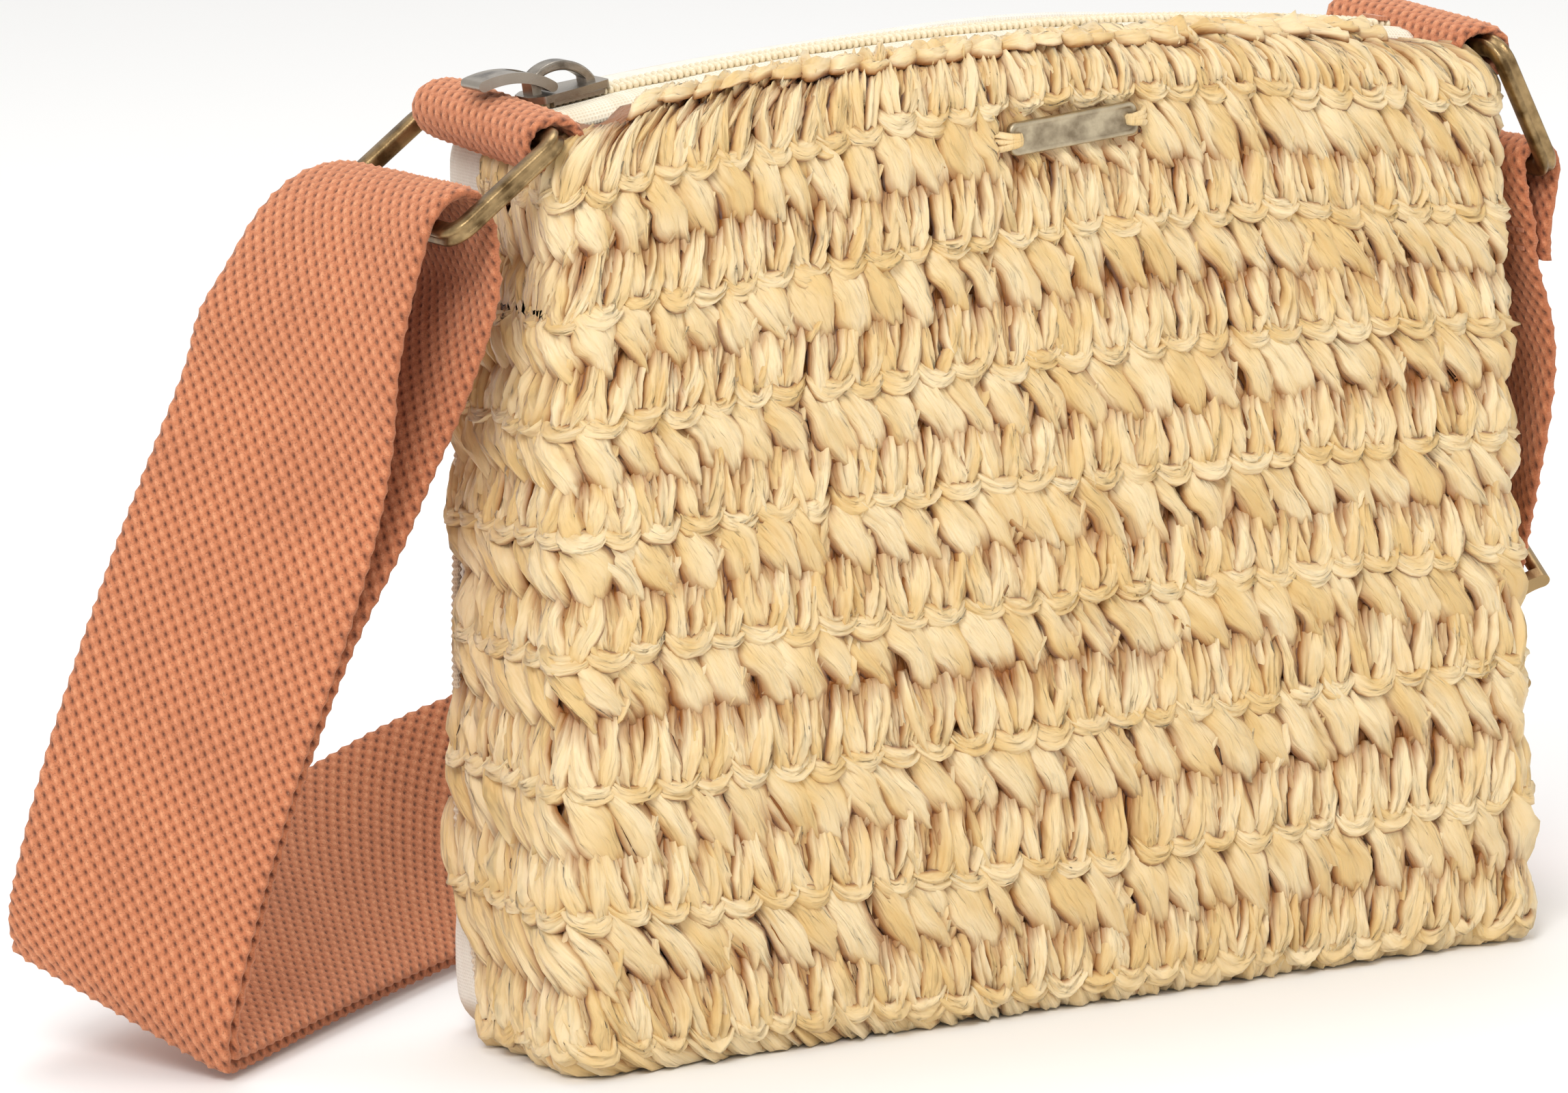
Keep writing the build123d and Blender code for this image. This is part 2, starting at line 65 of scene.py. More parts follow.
def makeMesh(name, points, faces, material, body="bag", uv=None, values=None, replaced=()):
    mesh = bpy.data.meshes.new(name)
    mesh.from_pydata((np.asarray(points).reshape(-1, 3) * mm).tolist(), [],
                     [list(map(int, f)) for f in faces])
    mesh.polygons.foreach_set("use_smooth", [True] * len(mesh.polygons))
    if uv is not None:
        corner = np.zeros(len(mesh.loops), int)
        mesh.loops.foreach_get("vertex_index", corner)
        layer = mesh.uv_layers.new(name="cloth")
        layer.data.foreach_set("uv", np.asarray(uv).reshape(-1, 2)[corner].ravel())
    for key, data in (values or {}).items():
        store = mesh.attributes.new(key, "FLOAT", "POINT")
        store.data.foreach_set("value", np.asarray(data, np.float32).ravel())
    mesh.materials.append(material)
    piece = bpy.data.objects.new(name, mesh)
    bpy.context.scene.collection.objects.link(piece)
    if body:
        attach(piece, body)
    if replaced:
        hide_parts(*replaced)
    return piece


def unit(vectors):
    return vectors / np.linalg.norm(vectors, axis=-1, keepdims=True)


# ---- material helpers ----
def startMaterial(name, roughness=0.7, metallic=0.0):
    material = bpy.data.materials.new(name)
    material.use_nodes = True
    shader = material.node_tree.nodes["Principled BSDF"]
    shader.inputs["Roughness"].default_value = roughness
    shader.inputs["Metallic"].default_value = metallic
    return material, shader


def addNode(material, kind, inputs=None, **settings):
    node = material.node_tree.nodes.new(kind)
    for key, value in settings.items():
        setattr(node, key, value)
    for key, value in (inputs or {}).items():
        if isinstance(value, bpy.types.NodeSocket):
            material.node_tree.links.new(value, node.inputs[key])
        else:
            node.inputs[key].default_value = value
    return node


def join(material, output, socket):
    material.node_tree.links.new(output, socket)


def noise(material, vector, scale, detail=3.0, roughness=0.55):
    return addNode(material, "ShaderNodeTexNoise", {"Vector": vector, "Scale": scale, "Detail": detail,
                                                    "Roughness": roughness}).outputs["Fac"]


def math2(material, operation, first, second=0.0, clamp=False):
    return addNode(material, "ShaderNodeMath", {0: first, 1: second}, operation=operation,
                   use_clamp=clamp).outputs[0]


def ramp(material, value, stops):
    node = addNode(material, "ShaderNodeValToRGB", {"Fac": value})
    elements = node.color_ramp.elements
    while len(elements) < len(stops):
        elements.new(0.5)
    for element, (place, colour) in zip(elements, stops):
        element.position = place
        element.color = (*colour, 1.0)
    return node.outputs["Color"]


def mixColour(material, share, first, second, blend="MIX"):
    node = addNode(material, "ShaderNodeMix", data_type="RGBA", blend_type=blend)
    for socket, value in ((node.inputs[0], share), (node.inputs[6], first), (node.inputs[7], second)):
        if isinstance(value, bpy.types.NodeSocket):
            join(material, value, socket)
        else:
            socket.default_value = value if isinstance(value, float) else (*value, 1.0)
    return node.outputs[2]


def bump(material, height, strength, distance, normal=None):
    inputs = {"Height": height, "Strength": strength, "Distance": distance}
    if normal is not None:
        inputs["Normal"] = normal
    return addNode(material, "ShaderNodeBump", inputs).outputs["Normal"]


def clothPlace(material, across=1.0, along=1.0):
    # place on the cloth in millimetres, stretched to suit a pattern
    uv = addNode(material, "ShaderNodeUVMap", uv_map="cloth").outputs["UV"]
    return addNode(material, "ShaderNodeMapping",
                   {"Vector": uv, "Scale": (across, along, 1.0)}).outputs["Vector"]


def objectPlace(material, scale=1000.0):
    place = addNode(material, "ShaderNodeTexCoord").outputs["Object"]
    return addNode(material, "ShaderNodeMapping",
                   {"Vector": place, "Scale": (scale,) * 3}).outputs["Vector"]


def attribute(material, name):
    return addNode(material, "ShaderNodeAttribute", attribute_name=name).outputs["Fac"]


# ---- materials ----
# deep is a painted shade colour: the saturated orange-brown laid into the crevices of the crochet
raffiaLook = {"pale": (0.78, 0.62, 0.37), "straw": (0.68, 0.47, 0.20), "deep": (0.30, 0.10, 0.012),
              "roughness": 0.5, "fibre": 2.4, "fibreDepth": 0.0003, "creaseDepth": 0.0011}


def makeRaffia():
    look = raffiaLook
    material, shader = startMaterial("raffia", look["roughness"])
    fibre = noise(material, clothPlace(material, look["fibre"], 0.16), 1.0, 4.0)
    crease = noise(material, clothPlace(material, 0.75, 0.2), 1.0, 2.0)
    blotch = noise(material, clothPlace(material, 0.11, 0.07), 1.0, 2.0)
    tone = ramp(material, blotch, [(0.38, look["straw"]), (0.58, look["pale"])])
    tone = mixColour(material, ramp(material, fibre, [(0.36, (0.34,) * 3), (0.52, (0.0,) * 3)]), tone,
                     look["straw"])
    # painted shade: where the raffia sits low, in crevices, at tucked ribbon edges and on the ground, the
    # colour turns to deep
    depth = attribute(material, "depth")
    tone = mixColour(material, ramp(material, depth,
                                    [(0.16, (1.0,) * 3), (0.42, (0.55,) * 3), (0.68, (0.0,) * 3)]),
                     tone, look["deep"])
    join(material, tone, shader.inputs["Base Color"])
    normal = bump(material, crease, 0.9, look["creaseDepth"])
    join(material, bump(material, fibre, 0.7, look["fibreDepth"], normal), shader.inputs["Normal"])
    shader.inputs["Sheen Weight"].default_value = 0.12
    shader.inputs["Subsurface Weight"].default_value = 0.12
    shader.inputs["Subsurface Radius"].default_value = (0.003, 0.002, 0.001)
    return material


# high is a painted highlight on the tops of the weave and the gap colour is painted shade between them; middle
# is the webbing's own colour
webbingLook = {"high": (0.74, 0.31, 0.155), "middle": (0.50, 0.165, 0.07), "gapShadeAndFleck": (0.09, 0.021, 0.009),
               "fibreDepth": 0.00022}


def makeWebbing():
    look = webbingLook
    material, shader = startMaterial("webbing", 0.92)
    # painted highlight and shade: the weave's high points are coloured light and its low points dark
    lift = attribute(material, "weave")
    tone = ramp(material, lift, [(0.03, look["gapShadeAndFleck"]), (0.34, look["middle"]), (0.9, look["high"])])
    patch = noise(material, objectPlace(material), 0.05, 3.0)
    tone = mixColour(material, 0.5, tone,
                     ramp(material, patch, [(0.3, (0.42,) * 3), (0.7, (0.6,) * 3)]), "OVERLAY")
    fibre = noise(material, clothPlace(material, 1.5, 3.2), 1.0, 3.0, 0.7)
    speck = noise(material, objectPlace(material), 2.6, 2.0, 0.7)
    tone = mixColour(material, ramp(material, fibre, [(0.56, (0.0,) * 3), (0.78, (0.5,) * 3)]), tone,
                     (0.80, 0.42, 0.26))
    # random dark flecks, in the colour of the painted gap shade
    tone = mixColour(material, ramp(material, speck, [(0.3, (0.45,) * 3), (0.46, (0.0,) * 3)]), tone,
                     look["gapShadeAndFleck"])
    join(material, tone, shader.inputs["Base Color"])
    normal = bump(material, fibre, 0.8, look["fibreDepth"])
    join(material, bump(material, speck, 0.5, look["fibreDepth"], normal), shader.inputs["Normal"])
    shader.inputs["Sheen Weight"].default_value = 0.35
    shader.inputs["Sheen Tint"].default_value = (0.95, 0.62, 0.45, 1.0)
    return material


def makeCloth(name, colour, threadShadeAndSlubTone, threads, depth, roughness=0.9, bottomShadeColour=None):
    # plain weave: threads is the count to a millimetre
    material, shader = startMaterial(name, roughness)
    waves = []
    for direction in ("X", "Y"):
        wave = addNode(material, "ShaderNodeTexWave",
                       {"Vector": clothPlace(material), "Scale": threads * 0.314,
                       "Distortion": 0.6, "Detail": 1.0}, bands_direction=direction)
        waves.append(wave.outputs["Fac"])
    weave = math2(material, "MAXIMUM", *waves)
    slub = noise(material, clothPlace(material, 0.3, 0.05), 1.0, 3.0)
    # painted shade: the gaps between the threads are mixed towards the darker colour; slubs darken to it at
    # random
    tone = mixColour(material, ramp(material, weave, [(0.2, (0.5,) * 3), (0.9, (0.0,) * 3)]), colour, threadShadeAndSlubTone)
    tone = mixColour(material, ramp(material, slub, [(0.35, (0.35,) * 3), (0.6, (0.0,) * 3)]), tone, threadShadeAndSlubTone)
    # painted shadow: the cloth darkens towards the bottom where the bag meets the floor
    if bottomShadeColour:
        bottomShadeMask = attribute(material, "bottomShade")
        tone = mixColour(material, bottomShadeMask, tone, bottomShadeColour)
    join(material, tone, shader.inputs["Base Color"])
    normal = bump(material, weave, 0.6, depth)
    join(material, bump(material, slub, 0.4, depth, normal), shader.inputs["Normal"])
    shader.inputs["Sheen Weight"].default_value = 0.2
    return material


def makeMetal(name, bright, dark, roughness, grain, edgeHighlightShare=0.5):
    material, shader = startMaterial(name, roughness, 1.0)
    place = objectPlace(material)
    patch = noise(material, place, 0.22, 4.0)
    fine = noise(material, place, 3.5, 4.0)
    edge = addNode(material, "ShaderNodeNewGeometry").outputs["Pointiness"]
    tone = mixColour(material, ramp(material, patch, [(0.38, (0.0,) * 3), (0.66, (1.0,) * 3)]), bright,
                     dark)
    # painted highlight: sharp edges are mixed towards the bright colour
    edgeHighlight = ramp(material, edge, [(0.5, (0.0,) * 3), (0.58, (edgeHighlightShare,) * 3)])
    tone = mixColour(material, edgeHighlight, tone, bright)
    join(material, tone, shader.inputs["Base Color"])
    rough = addNode(material, "ShaderNodeMapRange", {"Value": fine, "To Min": roughness - 0.1,
                                                     "To Max": roughness + 0.16})
    join(material, rough.outputs[0], shader.inputs["Roughness"])
    join(material, bump(material, fine, 0.35, grain), shader.inputs["Normal"])
    return material


def makeCoil():
    material, shader = startMaterial("zipCoil", 0.42)
    fine = noise(material, objectPlace(material), 1.8, 2.0)
    tone = ramp(material, fine, [(0.3, (0.70, 0.58, 0.38)), (0.7, (0.86, 0.77, 0.58))])
    join(material, tone, shader.inputs["Base Color"])
    join(material, bump(material, fine, 0.3, 0.0001), shader.inputs["Normal"])
    return material


looks = {
    "raffia": makeRaffia(),
    "webbing": makeWebbing(),
    # the canvas's last colour is painted shadow along its bottom
    "canvas": makeCloth("canvas", (0.83, 0.79, 0.70), (0.66, 0.59, 0.48), 1.6, 0.0002, 0.92,
                        (0.50, 0.36, 0.23)),
    "welt": makeCloth("weltCloth", (0.78, 0.66, 0.50), (0.48, 0.33, 0.20), 1.2, 0.0003),
    "lining": makeCloth("liningCloth", (0.80, 0.74, 0.62), (0.62, 0.55, 0.43), 2.0, 0.0001),
    "tape": makeCloth("zipTape", (0.84, 0.77, 0.62), (0.62, 0.50, 0.32), 1.5, 0.0002, 0.85),
    "coil": makeCoil(),
    # the last number of each metal is its share of painted edge highlight
    "nickel": makeMetal("zipNickel", (0.36, 0.32, 0.27), (0.065, 0.052, 0.04), 0.30, 0.00008, 0.9),
    "brass": makeMetal("ringBrass", (0.38, 0.26, 0.125), (0.10, 0.06, 0.025), 0.33, 0.00012, 0.9),
    "plateBrass": makeMetal("plateBrass", (0.50, 0.42, 0.29), (0.22, 0.17, 0.11), 0.42, 0.0001, 0.8),
    "thread": makeCloth("sewingThread", (0.62, 0.26, 0.14), (0.34, 0.11, 0.05), 3.0, 0.0001),
}
print("materials made")

# ---- the shell of the bag, as places on its surface ----
shellSizes = {"height": 182.0, "archRadius": 620.0, "baseCorner": 8.0,
              "topCorner": 11.0, "bulge": 1.6, "archFrom": 60.0}
crochetShell = {"face": -28.5, "side": 1.0, "shift": 0.0, "round": 9.0, "corner": 6.5, "sink": 1.3,
                "baseHalf": 103.0, "topHalf": 98.8}
canvasShell = {"face": 28.5, "side": -1.0, "shift": -0.6, "round": 8.0, "corner": 7.0, "sink": 0.5,
               "baseHalf": 101.2, "topHalf": 97.5}
# depth of the side seam at each height
seamLine = {"z": [0.0, 6.0, 41.0, 80.0, 119.0, 145.0, 169.5, 182.0],
            "y": [10.0, 11.5, 20.5, 19.8, 16.8, 9.0, 1.4, 0.0]}


def archHeight(x):
    radius = shellSizes["archRadius"]
    return shellSizes["height"] - radius + np.sqrt(radius ** 2 - x ** 2)


def shellPlace(s, v, shell):
    # s runs along the level section from its middle, v up the face and over its rounded edges
    size = shellSizes
    high, soft = size["height"], shell["round"]
    quarter = soft * math.pi / 2
    over = np.where(v > high / 2, v - (high - soft), soft - v)
    angle = np.clip(over, 0, quarter) / soft
    inset = soft * (1 - np.cos(angle)) + np.clip(over - quarter, 0, None)
    rise = np.where(over > 0, soft * np.sin(angle), over)
    z = np.where(v > high / 2, high - soft + rise, soft - rise)
    half = shell["baseHalf"] + (shell["topHalf"] - shell["baseHalf"]) * z / high
    for corner, gone in ((size["topCorner"], z - (high - size["topCorner"])),
                         (size["baseCorner"], size["baseCorner"] - z)):
        gone = np.clip(gone, 0, corner)
        half = half - (corner - np.sqrt(corner ** 2 - gone ** 2))
    side = shell["side"]
    seam = np.interp(z, seamLine["z"], seamLine["y"]) + shell["shift"]
    deep = np.clip(np.abs(seam - shell["face"]) - inset, 0.3, None)
    bend = np.minimum(np.clip(shell["corner"] - 0.4 * inset, 2.0, None), deep)
    front = half - bend
    whole = front + bend * math.pi / 2 + (deep - bend)
    place = np.abs(s) * whole
    turn = np.clip((place - front) / bend, 0, math.pi / 2)
    past = np.clip(place - front - bend * math.pi / 2, 0, None)
    x = np.minimum(place, front) + bend * np.sin(turn)
    y = shell["face"] + side * (inset + bend * (1 - np.cos(turn)) + past)
    y = y - side * size["bulge"] * np.cos(np.clip(x / shell["baseHalf"], 0,
                                                  1) * math.pi / 2) * np.sin(z / high * math.pi)
    fade = np.clip((z - size["archFrom"]) / (high - size["archFrom"]), 0, 1)
    z = z - (high - archHeight(x)) * fade * fade * (3 - 2 * fade)
    return np.stack([x * np.sign(s), y, z], -1)


def onShell(s, v, lift, shell):
    step = 0.002
    point = shellPlace(s, v, shell)
    acrossStep = shellPlace(s + step, v, shell) - shellPlace(s - step, v, shell)
    upStep = shellPlace(s, v + 0.4, shell) - shellPlace(s, v - 0.4, shell)
    normal = unit(np.cross(acrossStep, upStep))
    normal = normal * shell["side"]
    return point + normal * (np.asarray(lift) - shell["sink"])[..., None]


# ---- crochet: ribbons of raffia worked in pairs of rows ----
crochet = {"columns": 38, "halfLength": 142.0, "seed": 7, "slim": 0.88, "crease": 1.35, "ringRoom": 100.6,
           "rows": [-51.0, -28.5, -6.0, 16.8, 42.0, 67.2, 90.3, 113.4, 136.5, 159.0, 182.5],
           "steps": 11, "strips": 12, "floorClear": 0.35}
# each ribbon of a stitch: four guide points (across, up, lift), widths at its ends and middle, folds
stitchRibbons = {
    "behind": {"guide": [(4.8, 11.4, 0.5), (4.0, 7.4, 2.2), (2.6, 2.6, 2.0), (1.2, -1.6, 0.2)],
               "width": (5.0, 6.6, 5.0), "drop": 1.3, "fold": 0.42},
    "middleArm": {"guide": [(0.2, 9.8, 0.8), (0.6, 14.0, 2.1), (-0.3, 19.0, 2.0), (0.2, 24.8, 0.1)],
                  "width": (3.0, 5.2, 4.8), "drop": 1.3, "fold": 0.4},
    "leftArm": {"guide": [(-0.5, 9.2, 1.6), (-1.7, 13.0, 3.5), (-3.6, 17.8, 3.2), (-2.9, 24.6, 0.4)],
                "width": (2.4, 6.2, 5.0), "drop": 1.8, "fold": 0.5},
    "rightArm": {"guide": [(0.6, 9.2, 1.8), (1.6, 13.0, 3.8), (3.5, 17.8, 3.5), (3.0, 24.8, 0.4)],
                 "width": (2.4, 6.0, 4.8), "drop": 1.8, "fold": 0.5},
    "slant": {"guide": [(-5.2, 12.8, 1.0), (-2.8, 9.8, 4.3), (1.6, 4.0, 4.5), (4.7, -2.6, 0.5)],
              "width": (5.2, 9.6, 6.6), "drop": 2.1, "fold": 0.6},
    "bump": {"guide": [(-5.0, 14.6, 0.8), (-2.6, 9.6, 5.2), (2.6, 9.4, 5.2), (5.0, 14.4, 0.8)],
             "width": (2.2, 5.0, 2.2), "drop": 1.8, "fold": 0.42},
}
plateSpot = {"x": 4.9, "z": 166.5, "halfLength": 15.5, "halfHeight": 5.0, "pressed": 0.5}


def ribbonSheets(guides, widths, drops, folds, draw):
    # every ribbon at once: places (across, up, lift) on a grid of steps along by strips across
    count = len(guides)
    t = np.linspace(0, 1, crochet["steps"])[None, :, None]
    g = guides[:, :, None, None, :]
    t5 = t[..., None]
    line = ((1 - t5) ** 3 * g[:, 0] + 3 * (1 - t5) ** 2 * t5 * g[:, 1] + 3 * (1 - t5) * t5 ** 2 * g[:, 2]
            + t5 ** 3 * g[:, 3])
    run = np.gradient(line[:, :, 0, :2], axis=1)
    run = unit(run)
    sideways = np.stack([-run[..., 1], run[..., 0]], -1)[:, :, None, :]
    x = np.linspace(-1, 1, crochet["strips"])[None, None, :]
    start, middle, end = (widths[:, i][:, None, None] for i in range(3))
    width = start * (1 - t) + end * t + (middle - (start + end) / 2) * np.sin(math.pi * t) ** 0.8
    ragged = [1 + 0.17 * np.sin(2 * math.pi * (t * draw.uniform(0.6, 2.2, (count, 1, 1))
                                               + draw.random((count, 1, 1))))
              for _ in range(2)]
    pinch = np.where(x < 0, ragged[0], ragged[1])
    place = line[..., :2] + sideways * (x * width * pinch / 2)[..., None]
    lift = line[..., 2] - drops[:, None, None] * np.abs(x) ** 2.6
    for harmonic in (1.0, 1.9, 3.1):
        phase = draw.random((count, 1, 1)) + x * harmonic * draw.uniform(0.55, 0.8, (count, 1, 1))
        phase = phase + (t - 0.5) * draw.normal(0, 0.5, (count, 1, 1))
        ridge = 1 - 4 * np.abs((phase % 1) - 0.5)
        lift = lift + folds[:, None, None] * ridge * (1 - x ** 4) / harmonic ** 0.6
    lift = lift + draw.normal(0, 0.6, (count, 1, 1)) * x * np.sin(math.pi * t)
    crush = draw.normal(0, 0.17, lift.shape) * np.sin(math.pi * t) ** 0.5
    lift = lift + (crush + np.roll(crush, 1, 1)) * (1 - x ** 4)
    place = place + draw.normal(0, 0.09, place.shape)
    return place, lift, x, t, width


def ribbonFaces(count):
    steps, strips = crochet["steps"], crochet["strips"]
    one = gridFaces(steps, strips)
    under = [(r * strips + strips - 1, r * strips, (r + 1) * strips, (r + 1) * strips + strips - 1)
             for r in range(steps - 1)]
    quads = np.concatenate([one, np.array(under)])
    quads = (quads[None] + (np.arange(count) * steps * strips)[:, None, None]).reshape(-1, 4).tolist()
    ends = []
    for ribbon in range(count):
        first = ribbon * steps * strips
        ends.append(list(range(first + strips - 1, first - 1, -1)))
        last = first + (steps - 1) * strips
        ends.append(list(range(last, last + strips)))
    return quads + ends


def crochetRow(name, bottom, top, columns, draw, parts, shift=0.0):
    share = (top - bottom) / 23.0
    guides, widths, drops, folds = [], [], [], []
    for column in columns:
        centre = column + draw.normal(0, 0.35)
        sway = 0.9 * math.sin(column * 0.021 + bottom * 0.6) + draw.normal(0, 0.35)
        lean = draw.normal(0, 0.5)
        size = draw.normal(1.0, 0.06)
        for key in parts:
            ribbon = stitchRibbons[key]
            guide = np.array(ribbon["guide"]) * (size, share, 1.0)
            guide = guide + draw.normal(0, 0.45, guide.shape)
            guide[:, 0] += centre + lean * guide[:, 1] / 12
            guide[:, 1] += bottom + sway + shift
            guides.append(guide)
            widths.append(np.array(ribbon["width"]) * crochet["slim"] * draw.normal(1.0, 0.11))
            drops.append(ribbon["drop"] * draw.uniform(0.8, 1.15))
            folds.append(ribbon["fold"] * crochet["crease"] * draw.uniform(0.6, 1.4))
    guides, widths = np.array(guides), np.array(widths)
    place, lift, x, t, width = ribbonSheets(guides, widths, np.array(drops), np.array(folds), draw)
    s = place[..., 0] / crochet["halfLength"]
    points = onShell(s, place[..., 1], lift, crochetShell)
    near = (np.abs(points[..., 0] - plateSpot["x"]) < plateSpot["halfLength"]) & (
        np.abs(points[..., 2] - plateSpot["z"]) < plateSpot["halfHeight"]) & (points[..., 1] < 0)
    lift = np.where(near, lift * plateSpot["pressed"], lift)
    points = onShell(s, place[..., 1], lift, crochetShell)
    points[..., 2] = np.maximum(points[..., 2], crochet["floorClear"])
    # the sides stay flat between the rings, which swing past them
    room = np.where(points[..., 2] > 140, crochet["ringRoom"], 200.0)
    points[..., 0] = np.clip(points[..., 0], -room, room)
    count = len(guides)
    offset = draw.uniform(0, 900, (count, 1, 1))
    across = np.broadcast_to(x * width / 2 + offset, lift.shape)
    along = np.broadcast_to(t * 11 + offset * 1.7, lift.shape)
    # mask for painted shade: low ribbons and their edges get a small depth value, which the raffia colours as
    # crevice shade
    edgeShadeFactor = 1 - np.abs(x) ** 3 * 0.75
    depth = np.clip((lift + 0.9) / 4.4, 0, 1) * edgeShadeFactor
    return makeMesh(name, points, ribbonFaces(count), looks["raffia"],
                    uv=np.stack([across, along], -1), values={"depth": depth})


def makeCrochet():
    draw = np.random.default_rng(crochet["seed"])
    pitch = 2 * crochet["halfLength"] / crochet["columns"]
    levels = crochet["rows"]
    whole = ["behind", "middleArm", "leftArm", "rightArm", "slant", "bump"]
    hidden = ["leftArm", "rightArm", "slant", "bump"]
    for index, (bottom, top) in enumerate(zip(levels[:-1], levels[1:])):
        phase = (index * 0.37) % 1.0
        columns = (np.arange(crochet["columns"]) - crochet["columns"] / 2 + phase) * pitch
        crochetRow(f"crochetRow.{index + 1:02d}", bottom, top, columns, draw,
                   hidden if index < 2 else whole)
    edge = np.arange(-100.0, 100.5, pitch)
    crochetRow("crochetRow.top", levels[-1] - 8.0, levels[-1] + 12.0, edge, draw, whole[:4] + ["bump"])
    s, v = np.meshgrid(np.linspace(-1, 1, 150), np.linspace(-42, 187, 110), indexing="ij")
    lift = np.full(s.shape, -0.2) + 0.25 * np.sin(s * 210) * np.sin(v * 1.7)
    outer = onShell(s, v, lift, crochetShell)
    outer[..., 2] = np.maximum(outer[..., 2], 1.2)
    # the ground sheet behind the stitches is painted all over in the deep shade colour
    ground = makeMesh("crochetGround", outer, gridFaces(*s.shape), looks["raffia"],
                      uv=np.stack([s * 142, v], -1), values={"depth": np.full(s.shape, 0.08)},
                      replaced=["crochet_front_panel"])
    thicken(ground, 2.2)
    s, v = np.meshgrid(np.linspace(-0.8, 0.8, 90), np.linspace(182, 196.5, 12), indexing="ij")
    strip = onShell(s, v, np.full(s.shape, 0.2), crochetShell)
    # painted shade: the top strip also takes the deep shade colour all over
    topStrip = makeMesh("crochetGroundTop", strip, gridFaces(*s.shape), looks["raffia"],
                        uv=np.stack([s * 142, v], -1), values={"depth": np.full(s.shape, 0.12)})
    thicken(topStrip, 1.6)
    print("crochet worked in", len(levels) - 1, "pairs of rows")


def thicken(piece, depth, inward=1.0):
    solid = piece.modifiers.new("thick", "SOLIDIFY")
    solid.thickness = depth * mm
    solid.offset = inward
    bpy.context.view_layer.update()
    made = bpy.data.meshes.new_from_object(piece.evaluated_get(bpy.context.evaluated_depsgraph_get()))
    piece.modifiers.clear()
    piece.data = made


# ---- canvas back, welt and lining ----
canvas = {"gather": 0.35, "gatherPitch": 6.5, "slack": 0.9, "seed": 3}


def softWaves(s, v, seed, amount):
    draw = np.random.default_rng(seed)
    total = np.zeros_like(s)
    for _ in range(7):
        total = total + np.sin(s * draw.uniform(2, 9) + v * draw.uniform(-0.06, 0.06)
                               + draw.uniform(0, 6.3))
    return total * amount / 7


def makeCanvas():
    s, v = np.meshgrid(np.linspace(-1, 1, 190), np.linspace(-5.6, 187.5, 150), indexing="ij")
    edge = np.clip((np.abs(s) - 0.93) / 0.07, 0, 1) + np.clip((np.abs(v - 91) - 88) / 8, 0, 1)
    lift = softWaves(s, v, canvas["seed"], canvas["slack"] * 2.2)
    lift = lift + canvas["gather"] * np.sin(v * 2 * math.pi / canvas["gatherPitch"]) * np.clip(edge, 0, 1)
    lift = lift + 1.6 * np.exp(-((v - 14) / 16) ** 2) * np.exp(-((np.abs(s) - 0.9) / 0.12) ** 2)
    points = onShell(s, v, lift, canvasShell)
    points[..., 2] = np.maximum(points[..., 2], 0.2)
    # painted shadow over the lowest 7.5 mm of the canvas
    bottomShadeMask = np.clip((7.5 - points[..., 2]) / 3.0, 0, 1)
    back = makeMesh("canvasBack", points, gridFaces(*s.shape)[:, ::-1], looks["canvas"],
                    uv=np.stack([s * 112, v], -1), values={"bottomShade": bottomShadeMask},
                    replaced=["canvas_back_panel"])
    thicken(back, 1.0)
    x, y = np.meshgrid(np.linspace(-91, 91, 120), np.linspace(11.2, 21.5, 8), indexing="ij")
    z = archHeight(x) - 0.6 - 0.5 * ((y - 16) / 6) ** 2 + softWaves(x / 30, y, 9, 0.3)
    shoulder = makeMesh("canvasShoulder", np.stack([x, y, z], -1), gridFaces(*x.shape), looks["canvas"],
                        uv=np.stack([x, y], -1), values={"bottomShade": np.zeros(x.shape)})
    thicken(shoulder, 1.0)
    print("canvas back sewn")


welt = {"radius": 0.8, "ribs": 1.5, "ribHeight": 0.2, "shift": 0.9, "lift": -0.5, "from": -5.5, "to": 186.0,
        "steps": 620, "lowest": 1.7, "sides": 10}


def makeWelt():
    # ribbed piping along the seam, down both sides and under the base
    v = np.linspace(welt["from"], welt["to"], welt["steps"])
    seam = {**crochetShell, "sink": 0.0, "shift": welt["shift"]}
    sides = welt["sides"]
    for name, side in (("weltLeft", -1.0), ("weltRight", 1.0)):
        line = onShell(np.full(v.shape, side), v, np.full(v.shape, welt["lift"]), seam)
        line = line[line[:, 2] > welt["lowest"]]
        along = unit(np.gradient(line, axis=0))
        level = np.array([0.0, 1.0, 0.0])
        out = unit(np.cross(along, level))
        angle = np.linspace(0, 2 * math.pi, sides, endpoint=False)
        run = np.cumsum(np.r_[0, np.linalg.norm(np.diff(line, axis=0), axis=1)])
        ribs = welt["ribHeight"] * np.sin(run[:, None] * 2 * math.pi / welt["ribs"] + angle[None, :])
        radius = (welt["radius"] + ribs)[..., None]
        points = line[:, None] + radius * (np.cos(angle)[None, :, None] * level
                                           + np.sin(angle)[None, :, None] * out[:, None])
        last = len(line) * sides
        faces = gridFaces(len(line), sides, True).tolist()
        faces += [list(range(sides - 1, -1, -1)), list(range(last - sides, last))]
        uv = np.stack(np.broadcast_arrays(run[:, None], angle[None, :] * 1.3), -1)
        makeMesh(name, points, faces, looks["welt"], uv=uv,
                 replaced=["seam_welt"] if name == "weltLeft" else ())
    print("welt laid")


